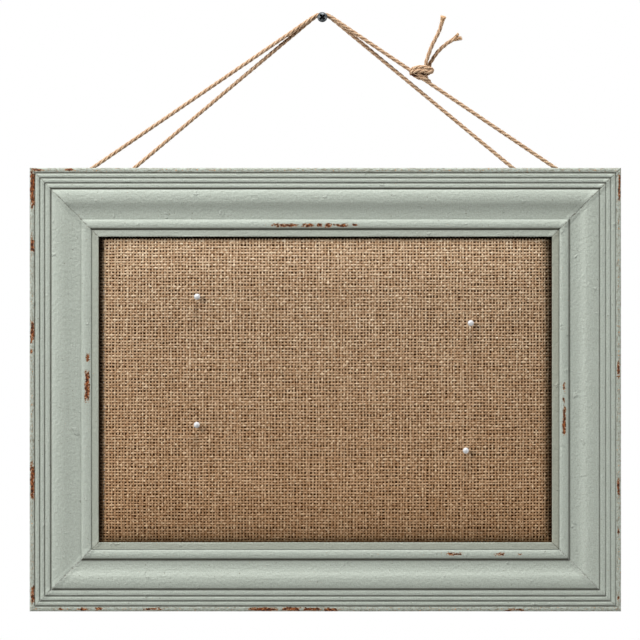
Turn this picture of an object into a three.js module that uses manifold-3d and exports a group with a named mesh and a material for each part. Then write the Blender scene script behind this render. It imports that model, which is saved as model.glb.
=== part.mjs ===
// A burlap pin board in a mitred, painted wooden frame, hung from a wall screw by a doubled jute twine.
// Millimetres, +Z up. The origin is on the screw's axis at the wall's surface; the board's front faces -Y.

import * as THREE from 'three';
import { mergeVertices } from 'three/addons/utils/BufferGeometryUtils.js';
import Module from 'manifold-3d';

const wasm = await Module();
wasm.setup();

// Clearances
const SEAT_GAP = 0.3;            // between pieces that rest on each other
const MITRE_GAP = 0.3;           // across each mitre, measured square to it
const PANEL_CLEARANCE = 0.5;     // between the panel's edge and the rabbet's wall

// Frame and how it hangs
const FRAME_WIDTH = 508;
const FRAME_HEIGHT = 381;
const SCREW_ABOVE_FRAME = 130.6; // from the frame's top edge up to the screw's axis
const BOARD_OFFSET = 2.6;        // the board hangs this far to the right of the screw
const BACK_STANDOFF = 10;        // from the frame's back to the wall

// Moulding: widths of its members from the outer edge inwards
const EDGE_BAND = 4.5;
const REED_WIDTH = 4.3;
const INNER_REED_WIDTH = 5.2;
const OGEE_WIDTH = 25.7;
const OGEE_SHOULDER = 7.2;       // the ogee's rounded outer side, as a part of its width
const BEAD_WIDTH = 9.4;
const LIP_WIDTH = 5.7;

// Moulding: heights of its members over the back
const EDGE_SIDE_HEIGHT = 18.3;
const REED_RISE = 1.1;           // each reed's round over its own groove
const REED_STEP = 0.2;           // each groove over the one outside it
const OGEE_RISE = 2;             // the ogee's crest over the last groove
const OGEE_SINK = 0.8;           // the middle of its round shoulder under that groove
const OGEE_FALL = 3.1;           // its valley under the crest
const OGEE_CREST_EASE = 0.4;     // how long the fall stays flat at its crest, as a part of its run
const OGEE_VALLEY_EASE = 0.6;    // the same at its valley
const BEAD_RISE = 2.3;
const QUIRK_DEPTH = 0.7;         // the bead's foot under the ogee's valley
const LIP_THICKNESS = 5;
const LIP_ARRIS = 0.6;
const RABBET_WIDTH = 7;

// Panel: its layers from the back to the front
const BACKING_THICKNESS = 3;
const CORE_THICKNESS = 6;
const PAD_EDGE_THICKNESS = 0.8;
const BURLAP_THICKNESS = 1;
const BURLAP_FOLD = 25;          // the burlap's turned-in margin behind the core
const ROLL_WIDTH = 9;            // the panel's rounded margin inside the lip
const ROLL_RISE = 3.4;
const CROWN_MARGIN = 48;         // how far in from the lip the crown goes on rising
const CROWN_RISE = 5;

// Pins: their places on the panel from its centre, [right, up]
const PIN_PLACES = {
  upper_left: [-110, 79.8],
  upper_right: [124.7, 57.1],
  lower_left: [-110.3, -30.2],
  lower_right: [120.5, -52.2],
};
const PIN_HEAD_DIAMETER = 5.2;
const PIN_HEAD_LIFT = 1.6;       // from the burlap to the underside of the ball
const PIN_NEEDLE_DIAMETER = 0.9;
const PIN_NEEDLE_LENGTH = 19;
const PIN_NEEDLE_IN_HEAD = 3.2;
const PIN_POINT_LENGTH = 2.5;

// V-nails across the mitres
const V_NAIL_PLACES = { outer: 14, inner: 36 }; // from both outer edges, along the mitre
const V_NAIL_WING = 6;
const V_NAIL_THICKNESS = 0.8;
const V_NAIL_DEPTH = 10;

// Turn buttons and their screws
const BUTTON_SPREAD = 105;       // from the middle of the top and bottom rails
const BUTTON_SETBACK = 6;        // from the rabbet's wall to the button's screw
const BUTTON_LENGTH = 16;        // from its screw to the centre of its round tip
const BUTTON_RADIUS = 4.5;
const BUTTON_THICKNESS = 1.2;
const BUTTON_SCREW_DIAMETER = 3;
const BUTTON_SCREW_LENGTH = 11;
const BUTTON_SCREW_HEAD_DIAMETER = 6;
const BUTTON_SCREW_HEAD_HEIGHT = 2;

// Screw eyes, set by hand: where the twine turns in each, [in from the frame's side, down from its top edge]
const LEFT_OUTER_TURN = [42, 9.5];
const LEFT_INNER_TURN = [54.2, 25.9];
const RIGHT_OUTER_TURN = [44.4, 9.5];
const RIGHT_INNER_TURN = [56.8, 25.9];
const EYE_BORE = 5.6;
const EYE_WIRE = 1.8;
const EYE_NECK = 0.4;            // from the wood to the underside of the ring
const EYE_SHANK_LENGTH = 11;

// Twine
const TWINE_DIAMETER = 3.5;
const TWINE_BEND = 7;
const BEND_STEPS = 5;
const KNOT_DISTANCE = 101.2;     // from the top of the loop down the right outer strand
const KNOT_OFFSET = 3.9;         // the knot's middle above that strand
const KNOT_SIZE = [20.2, 10, 13.8]; // along its long side, from front to back, and across
const KNOT_TILT = THREE.MathUtils.degToRad(34); // the strand's slope against the knot's long side
const KNOT_UPPER_REACH = 9.7;    // from the knot's middle to the strand that comes down from the screw
const KNOT_LOWER_REACH = 8;      // and to the strand that goes on to the frame
// The tails' courses: places from the knot's middle, [along its long side, back, across it]
const TAIL_UP = [[3.4, -1.9, 7.1], [4.1, -2.2, 11.2], [8.3, -2.8, 22.8], [14.8, -3.4, 36.1], [18.5, -4, 48.9]];
const TAIL_RIGHT = [[6.4, 2.1, 6.1], [7.6, 1.9, 9.4], [14.3, 0.8, 18.9], [23.4, -0.6, 26.6], [31.9, -2, 30.9]];

// Wall screw
const SHANK_DIAMETER = 3.8;
const THREAD_DIAMETER = 4.4;
const THREAD_RUN_IN = 0.5;       // from the wall's surface to the full thread
const SCREW_DEPTH = 24;          // how far it goes into the wall
const SCREW_TIP = 6;
const SCREW_HEAD_DIAMETER = 8.8;
const SCREW_HEAD_HEIGHT = 3;
const RECESS_WIDTH = 1.3;
const RECESS_SPAN = 5.4;
const RECESS_DEPTH = 1.8;
const RECESS_TURN = THREE.MathUtils.degToRad(42);

// Facets on round pieces
const CURVE_STEPS = 6;
const ROLL_STEPS = 4;
const CROWN_STEPS = 4;
const ROUND_SIDES = 16;
const HOLE_SIDES = 12;
const RING_SIDES = 8;
const RING_STEPS = 20;
const CORD_SIDES = 8;

// Sizes that follow from the ones above
const MOULDING_WIDTH = EDGE_BAND + 2 * REED_WIDTH + INNER_REED_WIDTH + OGEE_WIDTH + BEAD_WIDTH + LIP_WIDTH;
const SIGHT_WIDTH = FRAME_WIDTH - 2 * MOULDING_WIDTH;
const SIGHT_HEIGHT = FRAME_HEIGHT - 2 * MOULDING_WIDTH;
const FOLD_BACK = BACKING_THICKNESS + SEAT_GAP;
const CORE_BACK = FOLD_BACK + BURLAP_THICKNESS + SEAT_GAP;
const PAD_BACK = CORE_BACK + CORE_THICKNESS + SEAT_GAP;
const PAD_FRONT = PAD_BACK + PAD_EDGE_THICKNESS;
const BURLAP_FRONT = PAD_FRONT + SEAT_GAP + BURLAP_THICKNESS;
const RABBET_DEPTH = BURLAP_FRONT + SEAT_GAP;
const LIP_FRONT = RABBET_DEPTH + LIP_THICKNESS;
const PANEL_OVERLAP = RABBET_WIDTH - PANEL_CLEARANCE;
const CORE_OVERLAP = PANEL_OVERLAP - BURLAP_THICKNESS - SEAT_GAP;
const BUTTON_LINE = MOULDING_WIDTH - RABBET_WIDTH - BUTTON_SETBACK;
const EYE_RING_RADIUS = (EYE_BORE + EYE_WIRE) / 2;
const EYE_CENTRE = EYE_NECK + EYE_RING_RADIUS + EYE_WIRE / 2;
const TWINE_RADIUS = TWINE_DIAMETER / 2;
const TWINE_PLANE = -BACK_STANDOFF + EYE_CENTRE;
const PASS_STEP = (TWINE_DIAMETER + SEAT_GAP) / 2;
const SCREW_HEAD_BACK = TWINE_PLANE - PASS_STEP - TWINE_RADIUS - SEAT_GAP;

const finishes = {
  paint: { color: 0xb9c1b7, roughness: 0.5, metalness: 0 },
  burlap: { color: 0xa98a66, roughness: 0.95, metalness: 0 },
  wadding: { color: 0xe8e4da, roughness: 1, metalness: 0 },
  fibreboard: { color: 0xb59b74, roughness: 0.95, metalness: 0 },
  hardboard: { color: 0x6b4a30, roughness: 0.7, metalness: 0 },
  pinHead: { color: 0xf4f2ec, roughness: 0.25, metalness: 0 },
  steel: { color: 0xb8babc, roughness: 0.35, metalness: 1 },
  brass: { color: 0xb9974f, roughness: 0.35, metalness: 1 },
  zinc: { color: 0x8f9498, roughness: 0.4, metalness: 1 },
  jute: { color: 0xae8c66, roughness: 0.95, metalness: 0 },
};

// Mesh and solid helpers

function piece(name, geometry, finish) {
  const mesh = new THREE.Mesh(geometry, new THREE.MeshStandardMaterial(finishes[finish]));
  mesh.name = name;
  return mesh;
}

function toSolid(geometry) {
  const bare = geometry.clone();
  bare.deleteAttribute('normal');
  bare.deleteAttribute('uv');
  const merged = mergeVertices(bare);
  return new wasm.Manifold(new wasm.Mesh({
    numProp: 3,
    vertProperties: new Float32Array(merged.attributes.position.array),
    triVerts: new Uint32Array(merged.index.array),
  }));
}

function toGeometry(solid) {
  const mesh = solid.getMesh();
  const geometry = new THREE.BufferGeometry();
  geometry.setAttribute('position', new THREE.BufferAttribute(mesh.vertProperties, 3));
  geometry.setIndex(new THREE.BufferAttribute(mesh.triVerts, 1));
  geometry.computeVertexNormals();
  return geometry;
}

function cut(geometry, cutters) {
  return toGeometry(cutters.reduce((solid, cutter) => solid.subtract(toSolid(cutter)), toSolid(geometry)));
}

function join(first, second) {
  return toGeometry(toSolid(first).add(toSolid(second)));
}

// A round bar along Y between two places on it.
function bar(diameter, from, to, sides) {
  const geometry = new THREE.CylinderGeometry(diameter / 2, diameter / 2, to - from, sides);
  return geometry.translate(0, (from + to) / 2, 0);
}

// A plate of the given outline, drawn as [x, z] seen from the back, between two places along Y.
function plate(outline, from, to) {
  const geometry = new THREE.ExtrudeGeometry(outline, {
    depth: to - from,
    bevelEnabled: false,
    curveSegments: CURVE_STEPS,
  });
  return geometry.rotateX(Math.PI / 2).translate(0, to, 0);
}

function block(width, height, from, to) {
  return new THREE.BoxGeometry(width, to - from, height).translate(0, (from + to) / 2, 0);
}

// A rounded end's profile: [radius, y] points along a quarter ellipse, from its rim to its tip on the axis.
function roundedEnd(radius, rim, tip) {
  return Array.from({ length: CURVE_STEPS + 1 }, (_, step) => {
    const angle = step / CURVE_STEPS * Math.PI / 2;
    return [radius * Math.cos(angle), rim + (tip - rim) * Math.sin(angle)];
  });
}

// Turned pieces: a profile of [radius, y] points that starts and ends on the axis, with y rising.
function turned(profile, sides) {
  return new THREE.LatheGeometry(profile.map(([radius, y]) => new THREE.Vector2(radius, y)), sides);
}

// Frame rails

// The moulding's section: x runs in from the outer edge, y forward from the back.
function mouldingSection() {
  const section = new THREE.Shape();
  section.moveTo(0, 0);
  let across = 0;
  let foot = EDGE_SIDE_HEIGHT;
  for (const width of [EDGE_BAND, REED_WIDTH, REED_WIDTH, INNER_REED_WIDTH]) {
    section.lineTo(across, foot);
    section.absellipse(across + width / 2, foot, width / 2, REED_RISE, Math.PI, 0, true);
    across += width;
    foot += REED_STEP;
  }
  section.lineTo(across, foot);
  const shoulderEnd = across + OGEE_SHOULDER;
  const shoulderHeight = OGEE_RISE + OGEE_SINK;
  const shoulderStart = Math.asin(OGEE_SINK / shoulderHeight);
  const shoulderReach = OGEE_SHOULDER / Math.cos(shoulderStart);
  const shoulderMiddle = foot - OGEE_SINK;
  const startAngle = Math.PI - shoulderStart;
  section.absellipse(shoulderEnd, shoulderMiddle, shoulderReach, shoulderHeight, startAngle, Math.PI / 2, true);
  across += OGEE_WIDTH;
  const crest = foot + OGEE_RISE;
  const valley = crest - OGEE_FALL;
  const run = across - shoulderEnd;
  section.bezierCurveTo(
    shoulderEnd + OGEE_CREST_EASE * run, crest,
    across - OGEE_VALLEY_EASE * run, valley,
    across, valley,
  );
  const beadFoot = valley - QUIRK_DEPTH;
  section.lineTo(across, beadFoot);
  section.absellipse(across + BEAD_WIDTH / 2, beadFoot, BEAD_WIDTH / 2, BEAD_RISE, Math.PI, 0, true);
  across += BEAD_WIDTH;
  section.lineTo(across, LIP_FRONT);
  section.lineTo(MOULDING_WIDTH - LIP_ARRIS, LIP_FRONT);
  section.quadraticCurveTo(MOULDING_WIDTH, LIP_FRONT, MOULDING_WIDTH, LIP_FRONT - LIP_ARRIS);
  section.lineTo(MOULDING_WIDTH, RABBET_DEPTH);
  section.lineTo(MOULDING_WIDTH - RABBET_WIDTH, RABBET_DEPTH);
  section.lineTo(MOULDING_WIDTH - RABBET_WIDTH, 0);
  return section;
}

// A rail with its outer edge along the X axis and both ends mitred: a point lies as much nearer the middle
// as it lies further in from the outer edge.
function mitredRail(length) {
  const geometry = new THREE.ExtrudeGeometry(mouldingSection(), {
    depth: length,
    bevelEnabled: false,
    curveSegments: CURVE_STEPS,
  });
  const position = geometry.attributes.position;
  const endSetback = MITRE_GAP / Math.SQRT2;
  for (let i = 0; i < position.count; i++) {
    const across = position.getX(i);
    const end = position.getZ(i) < length / 2 ? 1 : -1;
    const along = end * (length / 2 - across - endSetback);
    position.setXYZ(i, along, -position.getY(i), -across);
  }
  return geometry;
}

// A V-nail in its corner's own frame: the corner's outer point is at 0, and both wings point into the frame.
function vNail(place, clearance, from, to) {
  const near = -clearance;
  const far = V_NAIL_WING + clearance;
  const inside = V_NAIL_THICKNESS + clearance;
  const outline = new THREE.Shape([
    new THREE.Vector2(near, near),
    new THREE.Vector2(far, near),
    new THREE.Vector2(far, inside),
    new THREE.Vector2(inside, inside),
    new THREE.Vector2(inside, far),
    new THREE.Vector2(near, far),
  ]);
  return plate(outline, from, to).translate(place, 0, -place);
}

// The slots that the V-nails of both ends of a rail sit in, open at the back.
function vNailSlots(length) {
  const slots = [];
  for (const place of Object.values(V_NAIL_PLACES)) {
    const slot = vNail(place, SEAT_GAP, -V_NAIL_DEPTH - SEAT_GAP, SEAT_GAP);
    slots.push(slot.clone().translate(-length / 2, 0, 0));
    slots.push(slot.clone().rotateY(Math.PI / 2).translate(length / 2, 0, 0));
  }
  return slots;
}

// A turn button's plate over its own screw's axis, pointing into the frame.
function buttonPlate() {
  const outline = new THREE.Shape();
  outline.absarc(0, 0, BUTTON_RADIUS, Math.PI, 2 * Math.PI);
  outline.absarc(0, BUTTON_LENGTH, BUTTON_RADIUS, 0, Math.PI);
  const hole = new THREE.Path();
  hole.absarc(0, 0, BUTTON_SCREW_DIAMETER / 2 + SEAT_GAP, 0, 2 * Math.PI, true);
  outline.holes.push(hole);
  return plate(outline, SEAT_GAP, SEAT_GAP + BUTTON_THICKNESS);
}

function buttonScrew() {
  const radius = BUTTON_SCREW_DIAMETER / 2;
  const seat = 2 * SEAT_GAP + BUTTON_THICKNESS;
  return turned([
    [0, seat - BUTTON_SCREW_LENGTH],
    [radius, seat - BUTTON_SCREW_LENGTH + BUTTON_SCREW_DIAMETER],
    [radius, seat],
    ...roundedEnd(BUTTON_SCREW_HEAD_DIAMETER / 2, seat, seat + BUTTON_SCREW_HEAD_HEIGHT),
  ], HOLE_SIDES);
}

function buttonScrewHole(along) {
  const hole = bar(BUTTON_SCREW_DIAMETER + 2 * SEAT_GAP, -BUTTON_SCREW_LENGTH, SEAT_GAP, HOLE_SIDES);
  return hole.translate(along, 0, -BUTTON_LINE);
}

// One rail with its turn buttons and their screws. Buttons are named by their places along the rail.
function railGroup(name, length, outward, turn, buttons, extraHoles) {
  const group = new THREE.Group();
  group.position.copy(outward);
  group.rotation.y = turn;
  const cutters = [...vNailSlots(length), ...Object.values(buttons).map(buttonScrewHole), ...extraHoles];
  group.add(piece(`${name}_rail`, cut(mitredRail(length), cutters), 'paint'));
  for (const [place, along] of Object.entries(buttons)) {
    const button = piece(`turn_button_${place}`, buttonPlate(), 'brass');
    const screw = piece(`turn_button_screw_${place}`, buttonScrew(), 'steel');
    button.position.set(along, 0, -BUTTON_LINE);
    screw.position.copy(button.position);
    group.add(button, screw);
  }
  return group;
}

// Panel: burlap over wadding over fibreboard, with a hardboard back

// How far the panel's face stands over its flat margin under the lip, at a place from its centre.
function swell(x, z) {
  const fromSide = SIGHT_WIDTH / 2 - Math.abs(x);
  const fromTop = SIGHT_HEIGHT / 2 - Math.abs(z);
  const rise = (distance, width) => Math.sin(Math.PI / 2 * THREE.MathUtils.clamp(distance / width, 0, 1));
  const roll = rise(fromSide, ROLL_WIDTH) * rise(fromTop, ROLL_WIDTH);
  const crown = rise(fromSide, CROWN_MARGIN) * rise(fromTop, CROWN_MARGIN);
  return ROLL_RISE * roll + CROWN_RISE * crown;
}

// Grid lines across half of the panel: close together over the rolled margin, wide apart over the crown.
function gridLines(sight, overlap) {
  const steps = (count, from, to) => (
    Array.from({ length: count }, (_, step) => from + (step + 1) / count * (to - from))
  );
  const roll = steps(ROLL_STEPS, 0, ROLL_WIDTH);
  const crown = steps(CROWN_STEPS, ROLL_WIDTH, CROWN_MARGIN);
  const half = [-overlap, 0, ...roll, ...crown].map((fromLip) => sight / 2 - fromLip);
  return [...half.map((line) => -line), ...half.reverse()];
}

// A closed slab with a flat back and a front that swells from the given height.
function crownedSlab(overlap, back, front) {
  const xs = gridLines(SIGHT_WIDTH, overlap);
  const zs = gridLines(SIGHT_HEIGHT, overlap);
  const columns = xs.length;
  const rows = zs.length;
  const points = [];
  for (const z of zs) {
    for (const x of xs) {
      points.push(x, -(front + swell(x, z)), z);
    }
  }
  const faces = [];
  const quad = (a, b, c, d) => faces.push(a, b, c, a, c, d);
  for (let row = 0; row + 1 < rows; row++) {
    for (let column = 0; column + 1 < columns; column++) {
      const corner = row * columns + column;
      quad(corner, corner + 1, corner + columns + 1, corner + columns);
    }
  }
  const rim = [];
  for (let column = 0; column < columns; column++) rim.push(column);
  for (let row = 1; row < rows; row++) rim.push(row * columns + columns - 1);
  for (let column = columns - 2; column >= 0; column--) rim.push((rows - 1) * columns + column);
  for (let row = rows - 2; row > 0; row--) rim.push(row * columns);
  const firstBack = points.length / 3;
  for (const vertex of rim) points.push(points[3 * vertex], -back, points[3 * vertex + 2]);
  const middle = points.length / 3;
  points.push(0, -back, 0);
  rim.forEach((vertex, i) => {
    const next = (i + 1) % rim.length;
    quad(vertex, firstBack + i, firstBack + next, rim[next]);
    faces.push(firstBack + i, middle, firstBack + next);
  });
  const geometry = new THREE.BufferGeometry();
  geometry.setAttribute('position', new THREE.Float32BufferAttribute(points, 3));
  geometry.setIndex(faces);
  return geometry;
}

// Height of the burlap's face over the frame's back at a pin's place.
const burlapHeight = ([x, z]) => BURLAP_FRONT + swell(x, z);
const needleTip = (place) => burlapHeight(place) + PIN_HEAD_LIFT + PIN_NEEDLE_IN_HEAD - PIN_NEEDLE_LENGTH;

function pinHoles() {
  return Object.values(PIN_PLACES).map((place) => {
    const front = -burlapHeight(place) - PIN_HEAD_LIFT;
    const hole = bar(PIN_NEEDLE_DIAMETER + 2 * SEAT_GAP, front, SEAT_GAP - needleTip(place), HOLE_SIDES);
    return hole.translate(place[0], 0, place[1]);
  });
}

function panelGroup() {
  const group = new THREE.Group();
  const coreWidth = SIGHT_WIDTH + 2 * CORE_OVERLAP;
  const coreHeight = SIGHT_HEIGHT + 2 * CORE_OVERLAP;
  const innerOverlap = PANEL_OVERLAP - BURLAP_THICKNESS;
  const window = block(coreWidth - 2 * BURLAP_FOLD, coreHeight - 2 * BURLAP_FOLD, -CORE_BACK, 0);
  const inside = crownedSlab(innerOverlap, FOLD_BACK + BURLAP_THICKNESS, BURLAP_FRONT - BURLAP_THICKNESS);
  const cover = crownedSlab(PANEL_OVERLAP, FOLD_BACK, BURLAP_FRONT);
  group.add(piece('burlap_cover', cut(cover, [inside, window, ...pinHoles()]), 'burlap'));
  group.add(piece('wadding_pad', cut(crownedSlab(CORE_OVERLAP, PAD_BACK, PAD_FRONT), pinHoles()), 'wadding'));
  const core = block(coreWidth, coreHeight, -CORE_BACK - CORE_THICKNESS, -CORE_BACK);
  group.add(piece('fibreboard_core', cut(core, pinHoles()), 'fibreboard'));
  const panelWidth = SIGHT_WIDTH + 2 * PANEL_OVERLAP;
  const panelHeight = SIGHT_HEIGHT + 2 * PANEL_OVERLAP;
  const back = block(panelWidth, panelHeight, -BACKING_THICKNESS, 0);
  group.add(piece('hardboard_back', cut(back, pinHoles()), 'hardboard'));
  return group;
}

// A pin's ball and needle about its own axis, measured from the burlap's face.
function pinGroup(name, place) {
  const group = new THREE.Group();
  group.position.set(place[0], -burlapHeight(place), place[1]);
  const ball = new THREE.SphereGeometry(PIN_HEAD_DIAMETER / 2, ROUND_SIDES, ROUND_SIDES / 2);
  ball.translate(0, -PIN_HEAD_LIFT - PIN_HEAD_DIAMETER / 2, 0);
  const needleEnd = -PIN_HEAD_LIFT - PIN_NEEDLE_IN_HEAD;
  const socket = bar(PIN_NEEDLE_DIAMETER + 2 * SEAT_GAP, needleEnd - SEAT_GAP, 0, HOLE_SIDES);
  group.add(piece(`pin_head_${name}`, cut(ball, [socket]), 'pinHead'));
  const radius = PIN_NEEDLE_DIAMETER / 2;
  const needle = turned([
    [0, needleEnd],
    [radius, needleEnd],
    [radius, needleEnd + PIN_NEEDLE_LENGTH - PIN_POINT_LENGTH],
    [0, needleEnd + PIN_NEEDLE_LENGTH],
  ], HOLE_SIDES);
  group.add(piece(`pin_needle_${name}`, needle, 'steel'));
  return group;
}

// Twine and what it turns on

// The line that halves the angle between the twine's two stretches at a turn, and half that angle.
function turnAt(place, before, after) {
  const back = before.clone().sub(place).normalize();
  const on = after.clone().sub(place).normalize();
  return { inward: back.clone().add(on).normalize(), halfAngle: back.angleTo(on) / 2 };
}

// The corner that a bend of the twine's own radius rounds off, for a bend whose middle is at that place.
function cornerFor(place, before, after) {
  const { inward, halfAngle } = turnAt(place, before, after);
  return place.clone().addScaledVector(inward, TWINE_BEND - TWINE_BEND / Math.sin(halfAngle));
}

// Points along a route of straight stretches, with each corner rounded to the twine's bend.
function roundedRoute(corners) {
  const points = [corners[0]];
  for (let i = 1; i + 1 < corners.length; i++) {
    const corner = corners[i];
    const back = corners[i - 1].clone().sub(corner).normalize();
    const on = corners[i + 1].clone().sub(corner).normalize();
    const { inward, halfAngle } = turnAt(corner, corners[i - 1], corners[i + 1]);
    const reach = TWINE_BEND / Math.tan(halfAngle);
    const centre = corner.clone().addScaledVector(inward, TWINE_BEND / Math.sin(halfAngle));
    const first = corner.clone().addScaledVector(back, reach).sub(centre);
    const last = corner.clone().addScaledVector(on, reach).sub(centre);
    const turn = first.angleTo(last);
    for (let step = 0; step <= BEND_STEPS; step++) {
      const share = step / BEND_STEPS;
      const spoke = first.clone().multiplyScalar(Math.sin((1 - share) * turn) / Math.sin(turn));
      spoke.addScaledVector(last, Math.sin(share * turn) / Math.sin(turn));
      points.push(spoke.add(centre));
    }
  }
  points.push(corners.at(-1));
  return points;
}

// A curve whose steps fall on its own points, close together in the bends and far apart on the straights.
class SteppedRoute extends THREE.CatmullRomCurve3 {
  getUtoTmapping(u) {
    return u;
  }
}

function cord(points) {
  const section = new THREE.Shape();
  section.absarc(0, 0, TWINE_RADIUS, 0, 2 * Math.PI);
  return new THREE.ExtrudeGeometry(section, {
    steps: points.length - 1,
    curveSegments: CORD_SIDES / 2,
    extrudePath: new SteppedRoute(points),
  });
}

const frameTop = -SCREW_ABOVE_FRAME;
const eyeTurn = (side, [inFromSide, down]) => (
  new THREE.Vector3(BOARD_OFFSET + side * (FRAME_WIDTH / 2 - inFromSide), TWINE_PLANE, frameTop - down)
);
const turns = {
  screw_front: new THREE.Vector3(0, TWINE_PLANE - PASS_STEP, SHANK_DIAMETER / 2 + SEAT_GAP + TWINE_RADIUS),
  screw_rear: new THREE.Vector3(0, TWINE_PLANE + PASS_STEP, SHANK_DIAMETER / 2 + SEAT_GAP + TWINE_RADIUS),
  left_outer: eyeTurn(-1, LEFT_OUTER_TURN),
  left_inner: eyeTurn(-1, LEFT_INNER_TURN),
  right_inner: eyeTurn(1, RIGHT_INNER_TURN),
  right_outer: eyeTurn(1, RIGHT_OUTER_TURN),
};
// The order in which the loop goes round, from the knot and back to it.
const loop = ['screw_front', 'left_outer', 'left_inner', 'screw_rear', 'right_inner', 'right_outer'];
const neighbours = (name) => {
  const i = loop.indexOf(name);
  return [turns[loop.at(i - 1)], turns[loop[(i + 1) % loop.length]]];
};

// A screw eye's ring centre: the twine lies against the ring's inner side.
function eyeCentre(name) {
  const { inward } = turnAt(turns[name], ...neighbours(name));
  const slack = EYE_RING_RADIUS - EYE_WIRE / 2 - SEAT_GAP - TWINE_RADIUS;
  return { inward, centre: turns[name].clone().addScaledVector(inward, -slack) };
}

const eyeNames = loop.filter((name) => !name.startsWith('screw'));

function screwEye(name) {
  const { inward, centre } = eyeCentre(name);
  const ring = new THREE.TorusGeometry(EYE_RING_RADIUS, EYE_WIRE / 2, RING_SIDES, RING_STEPS);
  const shankEnd = -EYE_CENTRE - EYE_SHANK_LENGTH;
  const shank = bar(EYE_WIRE, shankEnd, -EYE_RING_RADIUS, HOLE_SIDES);
  const eye = piece(`screw_eye_${name}`, join(ring, shank), 'brass');
  eye.position.copy(centre);
  eye.rotation.y = Math.atan2(-inward.z, inward.x);
  return eye;
}

// The eyes' holes in the top rail, in the rail's own frame.
function eyeHoles() {
  return eyeNames.map((name) => {
    const { centre } = eyeCentre(name);
    const hole = bar(EYE_WIRE + 2 * SEAT_GAP, -EYE_SHANK_LENGTH - SEAT_GAP, SEAT_GAP, HOLE_SIDES);
    return hole.translate(centre.x - BOARD_OFFSET, 0, centre.z - frameTop);
  });
}

function twineGroup() {
  const group = new THREE.Group();
  const corners = loop.map((name) => cornerFor(turns[name], ...neighbours(name)));
  const strandTop = corners[0];
  const strandEnd = corners.at(-1);
  const down = strandEnd.clone().sub(strandTop).normalize();
  const strandAt = (distance) => strandTop.clone().addScaledVector(down, distance);
  const upperEnd = strandAt(KNOT_DISTANCE - KNOT_UPPER_REACH);
  const lowerEnd = strandAt(KNOT_DISTANCE + KNOT_LOWER_REACH);
  group.add(piece('twine_loop', cord(roundedRoute([upperEnd, ...corners, lowerEnd])), 'jute'));
  const above = new THREE.Vector3(-down.z, 0, down.x);
  const knotCentre = strandAt(KNOT_DISTANCE).addScaledVector(above, KNOT_OFFSET);
  const knotTurn = Math.atan2(-down.z, down.x) - KNOT_TILT;
  const atKnot = (geometry) => geometry.rotateY(knotTurn).translate(...knotCentre.toArray());
  const knot = new THREE.SphereGeometry(1 / 2, ROUND_SIDES, ROUND_SIDES / 2).scale(...KNOT_SIZE);
  const tail = (places) => cord(places.map((place) => new THREE.Vector3(...place)));
  group.add(piece('twine_knot', atKnot(knot), 'jute'));
  group.add(piece('twine_tail_up', atKnot(tail(TAIL_UP)), 'jute'));
  group.add(piece('twine_tail_right', atKnot(tail(TAIL_RIGHT)), 'jute'));
  return group;
}

function wallScrew() {
  const head = SCREW_HEAD_BACK - SCREW_HEAD_HEIGHT;
  const shank = SHANK_DIAMETER / 2;
  const thread = THREAD_DIAMETER / 2;
  const screw = turned([
    ...roundedEnd(SCREW_HEAD_DIAMETER / 2, SCREW_HEAD_BACK, head).reverse(),
    [shank, SCREW_HEAD_BACK],
    [shank, 0],
    [thread, THREAD_RUN_IN],
    [thread, SCREW_DEPTH - SCREW_TIP],
    [0, SCREW_DEPTH],
  ], ROUND_SIDES);
  const slot = block(RECESS_SPAN, RECESS_WIDTH, head - SEAT_GAP, head + RECESS_DEPTH);
  const cross = [0, Math.PI / 2].map((turn) => slot.clone().rotateY(RECESS_TURN + turn));
  return piece('wall_screw', cut(screw, cross), 'zinc');
}

// The whole object

const board = new THREE.Group();
board.position.set(BOARD_OFFSET, -BACK_STANDOFF, frameTop - FRAME_HEIGHT / 2);

const spread = (left, right) => ({ [left]: -BUTTON_SPREAD, [right]: BUTTON_SPREAD });
const up = new THREE.Vector3(0, 0, FRAME_HEIGHT / 2);
const right = new THREE.Vector3(FRAME_WIDTH / 2, 0, 0);
board.add(
  railGroup('top', FRAME_WIDTH, up, 0, spread('top_left', 'top_right'), eyeHoles()),
  railGroup('right', FRAME_HEIGHT, right, Math.PI / 2, { right: 0 }, []),
  railGroup('bottom', FRAME_WIDTH, up.clone().negate(), Math.PI, spread('bottom_right', 'bottom_left'), []),
  railGroup('left', FRAME_HEIGHT, right.clone().negate(), -Math.PI / 2, { left: 0 }, []),
);

const cornerSigns = { top_left: [-1, 1], top_right: [1, 1], bottom_right: [1, -1], bottom_left: [-1, -1] };
Object.entries(cornerSigns).forEach(([corner, [sideX, sideZ]], quarter) => {
  for (const [which, place] of Object.entries(V_NAIL_PLACES)) {
    const nail = piece(`v_nail_${corner}_${which}`, vNail(place, 0, -V_NAIL_DEPTH, 0), 'steel');
    nail.position.set(sideX * FRAME_WIDTH / 2, 0, sideZ * FRAME_HEIGHT / 2);
    nail.rotation.y = quarter * Math.PI / 2;
    board.add(nail);
  }
});

board.add(panelGroup());
for (const [name, place] of Object.entries(PIN_PLACES)) {
  board.add(pinGroup(name, place));
}

const memoBoard = new THREE.Group();
memoBoard.add(wallScrew(), board, twineGroup(), ...eyeNames.map(screwEye));

export default memoBoard;
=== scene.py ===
# %% [markdown]
# # A burlap memo board, hung by jute twine
#
# The object is a pin board: burlap stretched over a padded panel, in a mitred wooden frame whose grey-
# green paint is rubbed through to red-brown wood. A doubled loop of twine carries it from a screw in
# the wall. The CAD part gives every piece its place and its motion. This lesson gives the pieces their
# looks.
#
# Lengths are written in millimetres and become metres in one place, where a mesh is made. X runs to the
# right, Y into the wall and Z up, and the origin is on the wall screw's axis at the wall's surface.

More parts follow.
